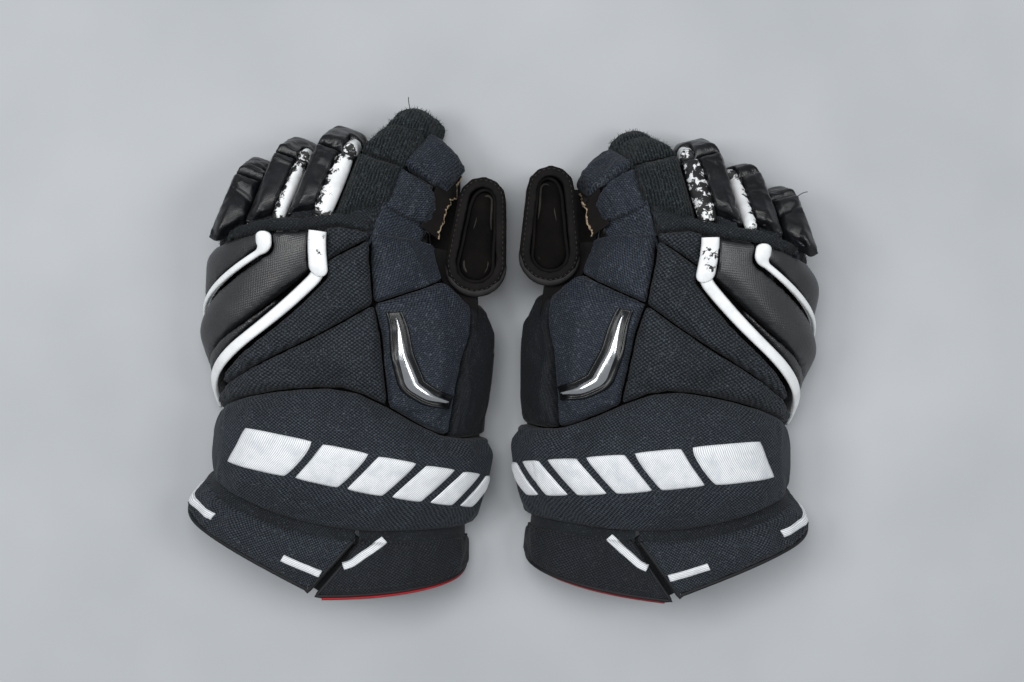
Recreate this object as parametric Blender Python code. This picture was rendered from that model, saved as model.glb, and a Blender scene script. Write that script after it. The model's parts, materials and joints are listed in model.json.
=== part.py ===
"""A pair of padded ice hockey gloves lying palm down.

Each glove is a set of foam pads sewn round a hand-shaped arch, with hinged fingers, thumb and cuff flaps.
A glove is drawn once, as the left one, in its own frame: +X to the thumb, +Y to the fingers, +Z up.
The right glove is the same drawing mirrored across X.
"""

import math

import bmesh
import bpy
import numpy as np
from mathutils import Matrix, Vector

# Where the two gloves lie
LEFT_GLOVE_X = -0.1000
LEFT_GLOVE_Y = -0.0414
LEFT_GLOVE_YAW = 0.0
RIGHT_GLOVE_X = 0.0904
RIGHT_GLOVE_Y = -0.0428
RIGHT_GLOVE_YAW = -6.5

# Clearances
SEAM_GAP = 0.0008
LAYER_GAP = 0.0004
LINER_GAP = 0.0014
CUFF_LAYER_GAP = 0.0012
FINGER_GAP = 0.0008
HINGE_GAP = 0.0015

# The hand arch at four stations: reach to the little finger side, reach to the thumb side, crown height
CUFF_STATION = -0.075
CUFF_OUTER_REACH = 0.104
CUFF_THUMB_REACH = 0.064
CUFF_CROWN = 0.052
WRIST_STATION = -0.020
WRIST_OUTER_REACH = 0.073
WRIST_THUMB_REACH = 0.073
WRIST_CROWN = 0.058
BALL_STATION = 0.045
BALL_OUTER_REACH = 0.086
BALL_THUMB_REACH = 0.078
BALL_CROWN = 0.064
KNUCKLE_STATION = 0.110
KNUCKLE_OUTER_REACH = 0.080
KNUCKLE_THUMB_REACH = 0.046
KNUCKLE_CROWN = 0.070
ARCH_SQUARENESS = 2.6
PATTERN_HALF_GIRTH = 0.100
PATTERN_STEP_ACROSS = 0.016
PATTERN_STEP_ALONG = 0.015
HEM_SHARE = 0.97
NORMAL_REACH = 0.01
MITRE_LEAST = 0.35
SAME_POINT = 1e-6
SEAM_POINTS = 10
WRIST_SEAM_POINTS = 14
SHORT_SEAM_POINTS = 6

# Thicknesses
PALM_THICK = 0.004
LINER_THICK = 0.0015
ROLL_THICK = 0.015
KNUCKLE_PANEL_THICK = 0.012
WELT_THICK = 0.009
INDEX_PAD_THICK = 0.013
THUMB_PAD_THICK = 0.015
GUSSET_THICK = 0.014
WRIST_ROLL_THICK = 0.021
CUFF_PAD_THICK = 0.008
CUFF_BOARD_THICK = 0.002
BADGE_THICK = 0.003
PAD_SHOULDER = 0.013
PAD_EDGE_INSET = 0.0014
PAD_WAIST_SHARE = 0.25
PAD_EDGE_SHARE = 0.5
WRIST_ROLL_OUTER_SHARE = 0.74
WRIST_ROLL_THUMB_SHARE = 0.92
TAPER_START = 0.40

# Seams of the back of the hand: share across the arch (-1 little finger hem, 1 thumb hem), distance along
STRIPE_ONE_WIDTH = 0.0045
STRIPE_TWO_WIDTH = 0.0070
WELT_SEAM = ((-0.97, 0.0930), (-0.70, 0.1000), (-0.28, 0.1078),
             (-0.085, 0.1080), (0.12, 0.1108), (0.295, 0.1070))
WELT_WIDTH = 0.0085
WELT_END = -0.78
OUTER_ROLL_SEAM = ((-0.97, 0.0580), (-0.305, 0.0985), (-0.300, 0.1077))
SECOND_ROLL_SEAM = ((-0.97, 0.0196), (-0.070, 0.0844))
STRIPE_TWO_SEAM = ((-0.97, 0.0037), (-0.068, 0.0838), (-0.030, 0.1080))
FOURTH_ROLL_SEAM = ((-0.82, 0.0074), (-0.19, 0.0408), (0.195, 0.0637))
KNUCKLE_SEAM = ((0.005, 0.0890), (0.280, 0.1035))
CENTRE_SEAM = ((0.295, 0.1070), (0.195, 0.0637))
CENTRE_SEAM_END = 0.234
INDEX_SEAM = ((0.195, 0.0637), (0.620, 0.0784))
INDEX_CORNER = (0.707, 0.1025)
THUMB_PAD_SEAM = ((0.616, 0.0297), (0.712, 0.0632))
THUMB_PAD_END = 0.56
GUSSET_FRONT = 0.066
GUSSET_CORNER = 0.735
THIRD_ROLL_END = -0.30
FOURTH_ROLL_END = -0.70
FIFTH_ROLL_END = -0.90

# Seams across the wrist and the cuff
WRIST_PEAK_SHARE = -0.066
WRIST_PEAK = 0.013
WRIST_OUTER_DROP = 0.021
WRIST_THUMB_DROP = 0.032
WRIST_THUMB_RUN = 0.72
CUFF_SEAM_START = -0.030
CUFF_SEAM_DROP = 0.046
CUFF_SEAM_RUN = 1.4
CUFF_HINGE_GAP = 0.0045
BACK_HEM_START = -0.052
BACK_HEM_DROP = 0.0606
BACK_HEM_RUN = 0.954
BACK_HEM_CURVE = 0.9
THUMB_HEM_START = -0.1165
THUMB_HEM_RISE = 0.016
THUMB_HEM_CURVE = 2.5
CUFF_SPLIT_FRONT = 0.233
CUFF_SPLIT_BACK = -0.03
CUFF_SPLIT_GAP = 0.003
CUFF_BOARD_MARGIN = 0.006

# The bright strip on the thumb side pad
BADGE_PATH = ((0.280, 0.0550), (0.300, 0.0320), (0.345, 0.0140), (0.430, 0.0070), (0.520, 0.0040))
BADGE_WIDTH = 0.0085
BADGE_END_WIDTH = 0.0040

# Fingers: parallel, leaning to the thumb, measured from the corner between index and middle finger
FINGER_CORNER_X = -0.0084
FINGER_CORNER_Y = 0.1176
FINGER_LEAN = 20.0
KNUCKLE_SKEW = 29.0
SKEW_HOLD = 0.006
SKEW_FADE = 0.022
FINGER_PAD_RISE = 0.012
STALL_DROP = 0.019
STALL_WALL = 0.0018
STALL_ROOF = 0.002
FINGER_EDGE = 0.005
FINGER_EDGE_STEPS = 2
FINGER_EDGE_PROFILE = 0.6
KNUCKLE_BACK = 10.0
KNUCKLE_CURL = 24.0
MIDJOINT_BACK = 12.0
MIDJOINT_CURL = 24.0
CUT_SPARE = 2.0
TIP_FLOOR_GAP = 0.0015
TIP_TAPER = 0.8

# Each finger: width, set forward of the corner, knuckle axis height, lengths and slopes of base and tip
INDEX_WIDTH = 0.029
INDEX_FORWARD = 0.008
INDEX_AXIS = 0.065
INDEX_BASE = 0.035
INDEX_SLOPE = 17.0
INDEX_TIP = 0.038
INDEX_TIP_SLOPE = 42.0
INDEX_TIP_BEND = 34.0
MIDDLE_WIDTH = 0.027
MIDDLE_FORWARD = -0.004
MIDDLE_AXIS = 0.065
MIDDLE_BASE = 0.041
MIDDLE_SLOPE = 19.0
MIDDLE_TIP = 0.030
MIDDLE_TIP_SLOPE = 72.0
MIDDLE_TIP_BEND = 10.0
RING_WIDTH = 0.0235
RING_FORWARD = -0.015
RING_AXIS = 0.058
RING_BASE = 0.038
RING_SLOPE = 18.0
RING_TIP = 0.027
RING_TIP_SLOPE = 74.0
RING_TIP_BEND = 10.0
PINKY_WIDTH = 0.0195
PINKY_FORWARD = -0.0265
PINKY_AXIS = 0.049
PINKY_BASE = 0.029
PINKY_SLOPE = 18.0
PINKY_TIP = 0.024
PINKY_TIP_SLOPE = 72.0
PINKY_TIP_BEND = 10.0

# How much further the right glove's fingers are curled: at the knuckle, at the middle joint
RIGHT_INDEX_CURL = (8.0, 16.0)
RIGHT_MIDDLE_CURL = (4.0, 2.0)
RIGHT_RING_CURL = (18.0, -8.0)
RIGHT_PINKY_CURL = (18.0, -8.0)

# The index finger's outer segment leans to the thumb
INDEX_TIP_TURN = 13.0

# Side pads of the index finger
SIDE_PAD_REACH = 0.037
SIDE_PAD_TILT = 34.0
SIDE_PAD_THICK = 0.011
SIDE_PAD_TOP = 0.012
SIDE_PAD_EDGE_SHARE = 0.6
SIDE_PAD_START = 0.0065
SIDE_PAD_SHORT = 0.004
SIDE_PAD_STEPS = 5
SIDE_PAD_EDGE_POWER = 3

# Palm
PALM_BACK = -0.045
PALM_FLAT_END = 0.062
PALM_FRONT_RISE = 0.020
PALM_MARGIN = 0.006
PALM_INSIDE = 0.007
PALM_FINGER_GAP = 0.003
PALM_COLUMNS = 9
PALM_ROWS = 13
PALM_TUCK_RUN = 0.015
LINER_BACK_MARGIN = 0.004
LINER_FRONT = 0.108

# Thumb: a boat-shaped bowl, drawn as a ring round two centres
THUMB_BACK_X = 0.0775
THUMB_BACK_Y = 0.0895
THUMB_BACK_RADIUS = 0.0190
THUMB_TIP_X = 0.0815
THUMB_TIP_Y = 0.1285
THUMB_TIP_RADIUS = 0.0150
THUMB_BOTTOM = 0.003
THUMB_TOP = 0.047
THUMB_WALL = 0.0065
THUMB_FLOOR = 0.004
THUMB_RIM = 0.0025
THUMB_LINING_DROP = 0.011
THUMB_LINING_THICK = 0.005
THUMB_LINING_CROWN = 0.003
THUMB_MOUTH_HEIGHT = 0.014
THUMB_MOUTH_WIDTH = 0.016
THUMB_HINGE_HEIGHT = 0.024
THUMB_ARC_STEPS = 7

# Colours
BLACK_VINYL = (0.012, 0.012, 0.013)
BLACK_MESH = (0.016, 0.016, 0.018)
GREY_TWILL = (0.045, 0.048, 0.055)
FUZZY_GREY = (0.030, 0.033, 0.032)
DARK_SUEDE = (0.020, 0.018, 0.017)
BOARD_GREY = (0.060, 0.060, 0.062)
BRIGHT_METAL = (0.750, 0.760, 0.780)
VINYL_ROUGHNESS = 0.40
MESH_ROUGHNESS = 0.70
TWILL_ROUGHNESS = 0.75
FUZZY_ROUGHNESS = 0.85
SUEDE_ROUGHNESS = 0.80
LINING_ROUGHNESS = 0.90
BOARD_ROUGHNESS = 0.50
METAL_ROUGHNESS = 0.15

STATIONS = (CUFF_STATION, WRIST_STATION, BALL_STATION, KNUCKLE_STATION)
OUTER_REACHES = (CUFF_OUTER_REACH, WRIST_OUTER_REACH, BALL_OUTER_REACH, KNUCKLE_OUTER_REACH)
THUMB_REACHES = (CUFF_THUMB_REACH, WRIST_THUMB_REACH, BALL_THUMB_REACH, KNUCKLE_THUMB_REACH)
CROWNS = (CUFF_CROWN, WRIST_CROWN, BALL_CROWN, KNUCKLE_CROWN)
HEM_HEIGHT = PALM_THICK + LAYER_GAP
ARCH_SAMPLES = 240
EMPTY_SIZE = 0.02
SHARP_ANGLE = 40.0


def smooth_step(share):
    """Ease from 0 to 1."""
    share = min(max(share, 0.0), 1.0)
    return share * share * (3.0 - 2.0 * share)


def between_stations(along, values):
    """A size of the arch at a distance along the glove."""
    for first in range(len(STATIONS) - 2, -1, -1):
        if along >= STATIONS[first]:
            break
    share = smooth_step((along - STATIONS[first]) / (STATIONS[first + 1] - STATIONS[first]))
    return values[first] * (1.0 - share) + values[first + 1] * share


def arch_line(along):
    """The arch's section at a distance along the glove: x, z and share of its length."""
    outer = -between_stations(along, OUTER_REACHES)
    thumb = between_stations(along, THUMB_REACHES)
    rise = between_stations(along, CROWNS) - HEM_HEIGHT
    turn = np.linspace(math.pi, 0.0, ARCH_SAMPLES)
    power = 2.0 / ARCH_SQUARENESS
    x = (outer + thumb) / 2 + (thumb - outer) / 2 * np.sign(np.cos(turn)) * np.abs(np.cos(turn)) ** power
    z = HEM_HEIGHT + rise * np.abs(np.sin(turn)) ** power
    run = np.concatenate(([0.0], np.cumsum(np.hypot(np.diff(x), np.diff(z)))))
    return x, z, 2.0 * run / run[-1] - 1.0


def wrap(across, along, lift):
    """A point on the arch, lifted off it along the normal of its section."""
    x, z, share = arch_line(along)
    ahead = min(across + NORMAL_REACH, 1.0)
    behind = max(across - NORMAL_REACH, -1.0)
    step_x = np.interp(ahead, share, x) - np.interp(behind, share, x)
    step_z = np.interp(ahead, share, z) - np.interp(behind, share, z)
    size = math.hypot(step_x, step_z)
    point_x = np.interp(across, share, x) - lift * step_z / size
    point_z = np.interp(across, share, z) + lift * step_x / size
    return Vector((point_x, along, point_z))


def wrist_seam(across):
    """Front edge of the wrist roll."""
    if across < WRIST_PEAK_SHARE:
        return WRIST_PEAK - WRIST_OUTER_DROP * ((WRIST_PEAK_SHARE - across) / (WRIST_PEAK_SHARE + 1.0)) ** 2
    return WRIST_PEAK - WRIST_THUMB_DROP * smooth_step((across - WRIST_PEAK_SHARE) / WRIST_THUMB_RUN)


def cuff_seam(across):
    """Back edge of the wrist roll."""
    share = min((across + 1.0) / CUFF_SEAM_RUN, 1.0)
    return CUFF_SEAM_START - CUFF_SEAM_DROP * math.sin(share * math.pi / 2)


def back_hem(across):
    """Free edge of the back cuff."""
    return BACK_HEM_START - BACK_HEM_DROP * ((across + 1.0) / BACK_HEM_RUN) ** BACK_HEM_CURVE


def thumb_hem(across):
    """Free edge of the thumb cuff."""
    share = (across - CUFF_SPLIT_BACK) / (1.0 - CUFF_SPLIT_BACK)
    return THUMB_HEM_START + THUMB_HEM_RISE * share ** THUMB_HEM_CURVE


def along_line(rule, start, end, count=SEAM_POINTS):
    """Points of a seam rule between two shares across the arch."""
    return [(across, rule(across)) for across in np.linspace(start, end, count)]


def shifted(points, along):
    """The same seam, moved along the glove."""
    return [(across, distance + along) for across, distance in points]


def make_material(name, colour, roughness, metallic=0.0):
    material = bpy.data.materials.new(name)
    material.use_nodes = True
    shader = material.node_tree.nodes["Principled BSDF"]
    shader.inputs["Base Color"].default_value = (*colour, 1.0)
    shader.inputs["Roughness"].default_value = roughness
    shader.inputs["Metallic"].default_value = metallic
    material.diffuse_color = (*colour, 1.0)
    return material


class Glove:
    """One glove: its name prefix, its hand and the empty that carries it."""

    def __init__(self, prefix, side, x, y, yaw):
        self.prefix = prefix
        self.side = side
        self.root = self.empty("origin", None, Vector((x, y, 0.0)), (0.0, 0.0, math.radians(yaw)))

    def empty(self, name, parent, location, rotation):
        thing = bpy.data.objects.new(f"{self.prefix}_{name}", None)
        thing.empty_display_size = EMPTY_SIZE
        thing.location = location
        thing.rotation_euler = rotation
        thing.parent = parent
        bpy.context.collection.objects.link(thing)
        return thing

    def joint(self, name, parent, point, pitch=0.0, yaw=0.0):
        """An empty whose X axis is a hinge line, at a point of the left-hand drawing."""
        place = Vector((self.side * point[0], point[1], point[2]))
        return self.empty(name, parent, place, (pitch, 0.0, self.side * yaw))

    def add(self, name, shape, parent, finish, cutter=False):
        """Link a mesh drawn for the left hand, mirrored for the right hand."""
        if self.side < 0:
            bmesh.ops.scale(shape, vec=(-1.0, 1.0, 1.0), verts=shape.verts)
            bmesh.ops.reverse_faces(shape, faces=shape.faces)
        mesh = bpy.data.meshes.new(f"{self.prefix}_{name}")
        shape.to_mesh(mesh)
        shape.free()
        thing = bpy.data.objects.new(f"{self.prefix}_{name}", mesh)
        thing.parent = parent
        bpy.context.collection.objects.link(thing)
        if cutter:
            thing.hide_render = True
            thing.display_type = "WIRE"
        else:
            mesh.materials.append(make_material(thing.name, *finish))
            mesh.shade_smooth()
            mesh.set_sharp_from_angle(angle=math.radians(SHARP_ANGLE))
        return thing

    def add_on_hinge(self, name, shape, hinge, finish):
        """Link a mesh drawn in the glove's frame to a hinge empty, without moving it."""
        thing = self.add(name, shape, hinge, finish)
        thing.matrix_parent_inverse = hinge.matrix_basis.inverted()
        return thing


def cut(thing, cutter):
    hollow = thing.modifiers.new("hollow", "BOOLEAN")
    hollow.operation = "DIFFERENCE"
    hollow.object = cutter


def inset_outline(points, distance):
    """Move every edge of a counter-clockwise outline inwards."""
    result = []
    count = len(points)
    for index in range(count):
        before = Vector(points[index - 1])
        here = Vector(points[index])
        after = Vector(points[(index + 1) % count])
        first = (here - before).normalized()
        second = (after - here).normalized()
        normal_one = Vector((-first.y, first.x))
        normal_two = Vector((-second.y, second.x))
        middle = (normal_one + normal_two).normalized()
        result.append(here + middle * (distance / max(middle.dot(normal_one), MITRE_LEAST)))
    return result


def distance_to_outline(point, points):
    nearest = 1.0
    for index in range(len(points)):
        start = points[index - 1]
        span = points[index] - start
        share = min(max((point - start).dot(span) / span.length_squared, 0.0), 1.0)
        nearest = min(nearest, (point - start - span * share).length)
    return nearest


def pad_shape(corners, thick, base=0.0, gap=SEAM_GAP, flat=False, end_shares=(1.0, 1.0)):
    """A sewn foam pad: a flat pattern, cut into cells, given a drawn-in waist and a crown, laid on the arch."""
    pattern = [(across * PATTERN_HALF_GIRTH, along) for across, along in corners]
    outline = inset_outline(pattern, gap / 2)
    shape = bmesh.new()
    shape.faces.new([shape.verts.new((point.x, point.y, 0.0)) for point in outline])
    for axis, step in ((0, PATTERN_STEP_ACROSS), (1, PATTERN_STEP_ALONG)):
        direction = Matrix.Identity(3)[axis]
        first = math.floor(min(point[axis] for point in outline) / step)
        last = math.ceil(max(point[axis] for point in outline) / step)
        for number in range(first, last + 1):
            everything = shape.verts[:] + shape.edges[:] + shape.faces[:]
            bmesh.ops.bisect_plane(shape, geom=everything, dist=SAME_POINT, plane_co=direction * step * number,
                                   plane_no=direction)
    bottom = shape.faces[:]
    raised = bmesh.ops.extrude_face_region(shape, geom=bottom, use_keep_orig=True)["geom"]
    top = [item for item in raised if isinstance(item, bmesh.types.BMFace)]
    edge_bottom = inset_ring(shape, bottom)
    edge_top = inset_ring(shape, top)
    low = {vert for face in bottom for vert in face.verts}
    for vert in shape.verts:
        flat_point = Vector(vert.co.xy)
        if vert in low:
            lift = 0.0
        elif vert in edge_bottom:
            lift = thick * PAD_WAIST_SHARE
        elif vert in edge_top:
            lift = thick * PAD_EDGE_SHARE
        else:
            reach = min(distance_to_outline(flat_point, outline) / PAD_SHOULDER, 1.0)
            rise = 1.0 if flat else math.sqrt(1.0 - (1.0 - reach) ** 2)
            lift = thick * (PAD_EDGE_SHARE + (1.0 - PAD_EDGE_SHARE) * rise)
        across = flat_point.x / PATTERN_HALF_GIRTH
        end_share = end_shares[0] if across < 0.0 else end_shares[1]
        lift *= 1.0 - (1.0 - end_share) * smooth_step((abs(across) - TAPER_START) / (HEM_SHARE - TAPER_START))
        vert.co = wrap(across, flat_point.y, base + lift)
    face_outwards(shape)
    return shape


def face_outwards(shape):
    """Turn every face of a closed shape to its outside."""
    bmesh.ops.recalc_face_normals(shape, faces=shape.faces)
    if shape.calc_volume(signed=True) < 0.0:
        bmesh.ops.reverse_faces(shape, faces=shape.faces)


def inset_ring(shape, faces):
    """Draw a region in by the edge inset, and return the corners left on its old outline."""
    ring = bmesh.ops.inset_region(shape, faces=faces, thickness=PAD_EDGE_INSET, use_even_offset=True)["faces"]
    inner = {vert for face in faces for vert in face.verts}
    return {vert for face in ring for vert in face.verts} - inner


def beside(points, distance):
    """A seam moved sideways, to the right of its direction, by a width in the flat pattern."""
    flat = [Vector((across * PATTERN_HALF_GIRTH, along)) for across, along in points]
    moved = []
    for index, here in enumerate(flat):
        before = flat[max(index - 1, 0)]
        after = flat[min(index + 1, len(flat) - 1)]
        first = (here - before) if index else (after - here)
        second = (after - here) if index < len(flat) - 1 else first
        normal_one = Vector((first.y, -first.x)).normalized()
        normal_two = Vector((second.y, -second.x)).normalized()
        middle = (normal_one + normal_two).normalized()
        place = here + middle * (distance / middle.dot(normal_one))
        moved.append((place.x / PATTERN_HALF_GIRTH, place.y))
    return moved


def on_line(points, across):
    """Distance along the glove of a seam at a share across the arch."""
    return float(np.interp(across, [point[0] for point in points], [point[1] for point in points]))


def stretch(points, start, end):
    """The part of a seam from one share across the arch to another."""
    low = min(start, end)
    high = max(start, end)
    inside = [point for point in points if low < point[0] < high]
    line = [(low, on_line(points, low))] + inside + [(high, on_line(points, high))]
    return line if start < end else line[::-1]


def extended(points, across):
    """A seam whose first stretch is drawn on to a share across the arch."""
    first, second = points[:2]
    slope = (second[1] - first[1]) / (second[0] - first[0])
    return [(across, first[1] + (across - first[0]) * slope)] + list(points)


def hand_pads():
    """Corners and thickness of every pad on the back of the hand, counter-clockwise."""
    stripe_one = beside(OUTER_ROLL_SEAM, STRIPE_ONE_WIDTH)
    stripe_two = beside(STRIPE_TWO_SEAM, STRIPE_TWO_WIDTH)
    hem = -HEM_SHARE
    pads = {}
    corners = stretch(WELT_SEAM, WELT_END, WELT_SEAM[-1][0])
    pads["knuckle_welt"] = (corners + shifted(corners, WELT_WIDTH)[::-1], WELT_THICK)
    corners = list(OUTER_ROLL_SEAM[:2]) + stretch(WELT_SEAM, OUTER_ROLL_SEAM[2][0], hem)
    pads["outer_roll"] = (corners, ROLL_THICK)
    corners = list(SECOND_ROLL_SEAM) + stretch(WELT_SEAM, STRIPE_TWO_SEAM[2][0], stripe_one[2][0])
    corners += stretch(extended(stripe_one, hem), stripe_one[1][0], hem)
    pads["second_roll"] = (corners, ROLL_THICK)
    corners = [(across, on_line(STRIPE_TWO_SEAM, across)) for across in (hem, THIRD_ROLL_END)]
    corners += [(across, on_line(SECOND_ROLL_SEAM, across)) for across in (THIRD_ROLL_END, hem)]
    pads["third_roll"] = (corners, ROLL_THICK)
    corners = [(FOURTH_ROLL_END, on_line(FOURTH_ROLL_SEAM, FOURTH_ROLL_END))] + list(FOURTH_ROLL_SEAM[1:])
    corners += list(KNUCKLE_SEAM[::-1]) + [stripe_two[1]]
    corners += [(FOURTH_ROLL_END, on_line(stripe_two, FOURTH_ROLL_END))]
    pads["fourth_roll"] = (corners, ROLL_THICK)
    corners = along_line(wrist_seam, FIFTH_ROLL_END, CENTRE_SEAM_END) + list(FOURTH_ROLL_SEAM[::-1])
    corners += [(FIFTH_ROLL_END, on_line(stripe_two, FIFTH_ROLL_END))]
    pads["fifth_roll"] = (corners, ROLL_THICK)
    corners = list(KNUCKLE_SEAM) + stretch(WELT_SEAM, KNUCKLE_SEAM[-1][0], stripe_two[2][0])
    pads["knuckle_panel"] = (corners, KNUCKLE_PANEL_THICK)
    pads["index_knuckle_pad"] = (list(INDEX_SEAM) + [INDEX_CORNER, CENTRE_SEAM[0]], INDEX_PAD_THICK)
    corners = along_line(wrist_seam, CENTRE_SEAM_END, THUMB_PAD_END, SHORT_SEAM_POINTS) + list(THUMB_PAD_SEAM)
    pads["thumb_side_pad"] = (corners + list(INDEX_SEAM[::-1]), THUMB_PAD_THICK)
    corners = along_line(wrist_seam, THUMB_PAD_END, HEM_SHARE, SHORT_SEAM_POINTS)
    corners += [(HEM_SHARE, GUSSET_FRONT), (GUSSET_CORNER, GUSSET_FRONT)] + list(THUMB_PAD_SEAM[::-1])
    pads["side_gusset"] = (corners, GUSSET_THICK)
    corners = along_line(cuff_seam, hem, HEM_SHARE, WRIST_SEAM_POINTS)
    corners += along_line(wrist_seam, HEM_SHARE, hem, WRIST_SEAM_POINTS)
    pads["wrist_roll"] = (corners, WRIST_ROLL_THICK)
    return pads


PAD_FINISHES = {
    "knuckle_welt": (BLACK_MESH, MESH_ROUGHNESS),
    "outer_roll": (BLACK_VINYL, VINYL_ROUGHNESS),
    "second_roll": (BLACK_VINYL, VINYL_ROUGHNESS),
    "third_roll": (BLACK_VINYL, VINYL_ROUGHNESS),
    "fourth_roll": (BLACK_MESH, MESH_ROUGHNESS),
    "fifth_roll": (BLACK_MESH, MESH_ROUGHNESS),
    "knuckle_panel": (BLACK_MESH, MESH_ROUGHNESS),
    "index_knuckle_pad": (GREY_TWILL, TWILL_ROUGHNESS),
    "thumb_side_pad": (GREY_TWILL, TWILL_ROUGHNESS),
    "side_gusset": (BLACK_MESH, MESH_ROUGHNESS),
    "wrist_roll": (BLACK_MESH, MESH_ROUGHNESS),
}


def add_hand(glove):
    """Palm, liner, and the pads on the back of the hand."""
    for name, (corners, thick) in hand_pads().items():
        end_shares = (WRIST_ROLL_OUTER_SHARE, WRIST_ROLL_THUMB_SHARE) if name == "wrist_roll" else (1.0, 1.0)
        shape = pad_shape(corners, thick, end_shares=end_shares)
        glove.add(name, shape, glove.root, PAD_FINISHES[name])
    glove.add("trim_badge", badge_shape(), glove.root, (BRIGHT_METAL, METAL_ROUGHNESS, 1.0))
    hem = HEM_SHARE
    liner = shifted(along_line(cuff_seam, -hem, hem), LINER_BACK_MARGIN)
    liner += [(hem, GUSSET_FRONT), (THUMB_PAD_SEAM[1][0], GUSSET_FRONT)]
    liner += [(INDEX_SEAM[1][0], LINER_FRONT), (-hem, WELT_SEAM[0][1])]
    shape = pad_shape(liner, LINER_THICK, base=-LINER_THICK - LINER_GAP, flat=True)
    glove.add("liner", shape, glove.root, (DARK_SUEDE, LINING_ROUGHNESS))
    glove.add("palm", palm_shape(), glove.root, (DARK_SUEDE, SUEDE_ROUGHNESS))


def badge_shape():
    """A curved strip that tapers to both ends."""
    flat = [Vector((across * PATTERN_HALF_GIRTH, along)) for across, along in BADGE_PATH]
    left = []
    right = []
    for index, here in enumerate(flat):
        run = (flat[min(index + 1, len(flat) - 1)] - flat[max(index - 1, 0)]).normalized()
        share = index / (len(flat) - 1)
        half = (BADGE_END_WIDTH + (BADGE_WIDTH - BADGE_END_WIDTH) * math.sin(share * math.pi)) / 2
        normal = Vector((-run.y, run.x))
        left.append(here + normal * half)
        right.append(here - normal * half)
    corners = [(point.x / PATTERN_HALF_GIRTH, point.y) for point in right + left[::-1]]
    corners = corners[::-1] if signed_area(corners) < 0 else corners
    return pad_shape(corners, BADGE_THICK, base=THUMB_PAD_THICK + LAYER_GAP, gap=0.0, flat=True)


def signed_area(points):
    total = 0.0
    for index in range(len(points)):
        total += points[index - 1][0] * points[index][1] - points[index][0] * points[index - 1][1]
    return total / 2


def palm_shape():
    """A leather sheet, flat under the hand and rising to the roots of the fingers."""
    knuckles = [finger_root(finger) for finger in FINGERS]
    knuckle_x = [point.x for point in knuckles][::-1]
    knuckle_y = [point.y for point in knuckles][::-1]
    shape = bmesh.new()
    sheets = []
    for lift in (0.0, PALM_THICK):
        sheet = []
        for row in range(PALM_ROWS):
            line = []
            for column in range(PALM_COLUMNS):
                share = column / (PALM_COLUMNS - 1)
                front_x = -KNUCKLE_OUTER_REACH + share * (KNUCKLE_OUTER_REACH + KNUCKLE_THUMB_REACH)
                front = float(np.interp(front_x, knuckle_x, knuckle_y)) - PALM_FINGER_GAP
                front -= abs(math.tan(math.radians(KNUCKLE_SKEW))) * INDEX_WIDTH / 2
                along = PALM_BACK + row / (PALM_ROWS - 1) * (front - PALM_BACK)
                tuck = smooth_step((along - PALM_FLAT_END + PALM_TUCK_RUN) / PALM_TUCK_RUN)
                margin = PALM_MARGIN * (1.0 - tuck) - PALM_INSIDE * tuck
                section = max(along, WRIST_STATION)
                left = -between_stations(section, OUTER_REACHES) - margin
                right = between_stations(section, THUMB_REACHES) + margin
                rise = PALM_FRONT_RISE * smooth_step((along - PALM_FLAT_END) / (front - PALM_FLAT_END))
                line.append(shape.verts.new((left + share * (right - left), along, rise + lift)))
            sheet.append(line)
        sheets.append(sheet)
    low, high = sheets
    for row in range(PALM_ROWS - 1):
        for column in range(PALM_COLUMNS - 1):
            corners = [(row, column), (row, column + 1), (row + 1, column + 1), (row + 1, column)]
            shape.faces.new([high[place[0]][place[1]] for place in corners])
            shape.faces.new([low[place[0]][place[1]] for place in corners[::-1]])
    rim = [(0, column) for column in range(PALM_COLUMNS)]
    rim += [(row, PALM_COLUMNS - 1) for row in range(1, PALM_ROWS)]
    rim += [(PALM_ROWS - 1, column) for column in range(PALM_COLUMNS - 2, -1, -1)]
    rim += [(row, 0) for row in range(PALM_ROWS - 2, 0, -1)]
    for index in range(len(rim)):
        first = rim[index - 1]
        second = rim[index]
        shape.faces.new([low[first[0]][first[1]], low[second[0]][second[1]],
                         high[second[0]][second[1]], high[first[0]][first[1]]])
    return shape


def hinge_seam(across):
    """Front edge of the cuff flaps."""
    return cuff_seam(across) - CUFF_HINGE_GAP


def flap_outline(hem, hem_ends, seam_ends, margin):
    """A cuff flap between its free edge and its hinge, drawn in by a margin."""
    trim = margin / PATTERN_HALF_GIRTH
    hem_line = along_line(hem, hem_ends[0] + trim, hem_ends[1] - trim)
    seam_line = along_line(hinge_seam, seam_ends[1] - trim, seam_ends[0] + trim)
    return shifted(hem_line, margin) + shifted(seam_line, -margin)


def flap_hinge(glove, name, seam_ends):
    """An empty on the line about which a flap bends: a chord of its edge, moved half way out to it."""
    start, end = seam_ends
    seam = [wrap(across, cuff_seam(across) - CUFF_HINGE_GAP / 2, CUFF_PAD_THICK / 2)
            for across in (start, (start + end) / 2, end)]
    chord = seam[2] - seam[0]
    middle = (seam[0] + seam[2]) / 2
    bow = seam[1] - middle
    bow -= chord * (bow.dot(chord) / chord.length_squared)
    mirror = Vector((glove.side, 1.0, 1.0))
    turn = Vector((1.0, 0.0, 0.0)).rotation_difference(chord * mirror)
    return glove.empty(name + "_hinge", glove.root, (middle + bow / 2) * mirror, turn.to_euler())


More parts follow.
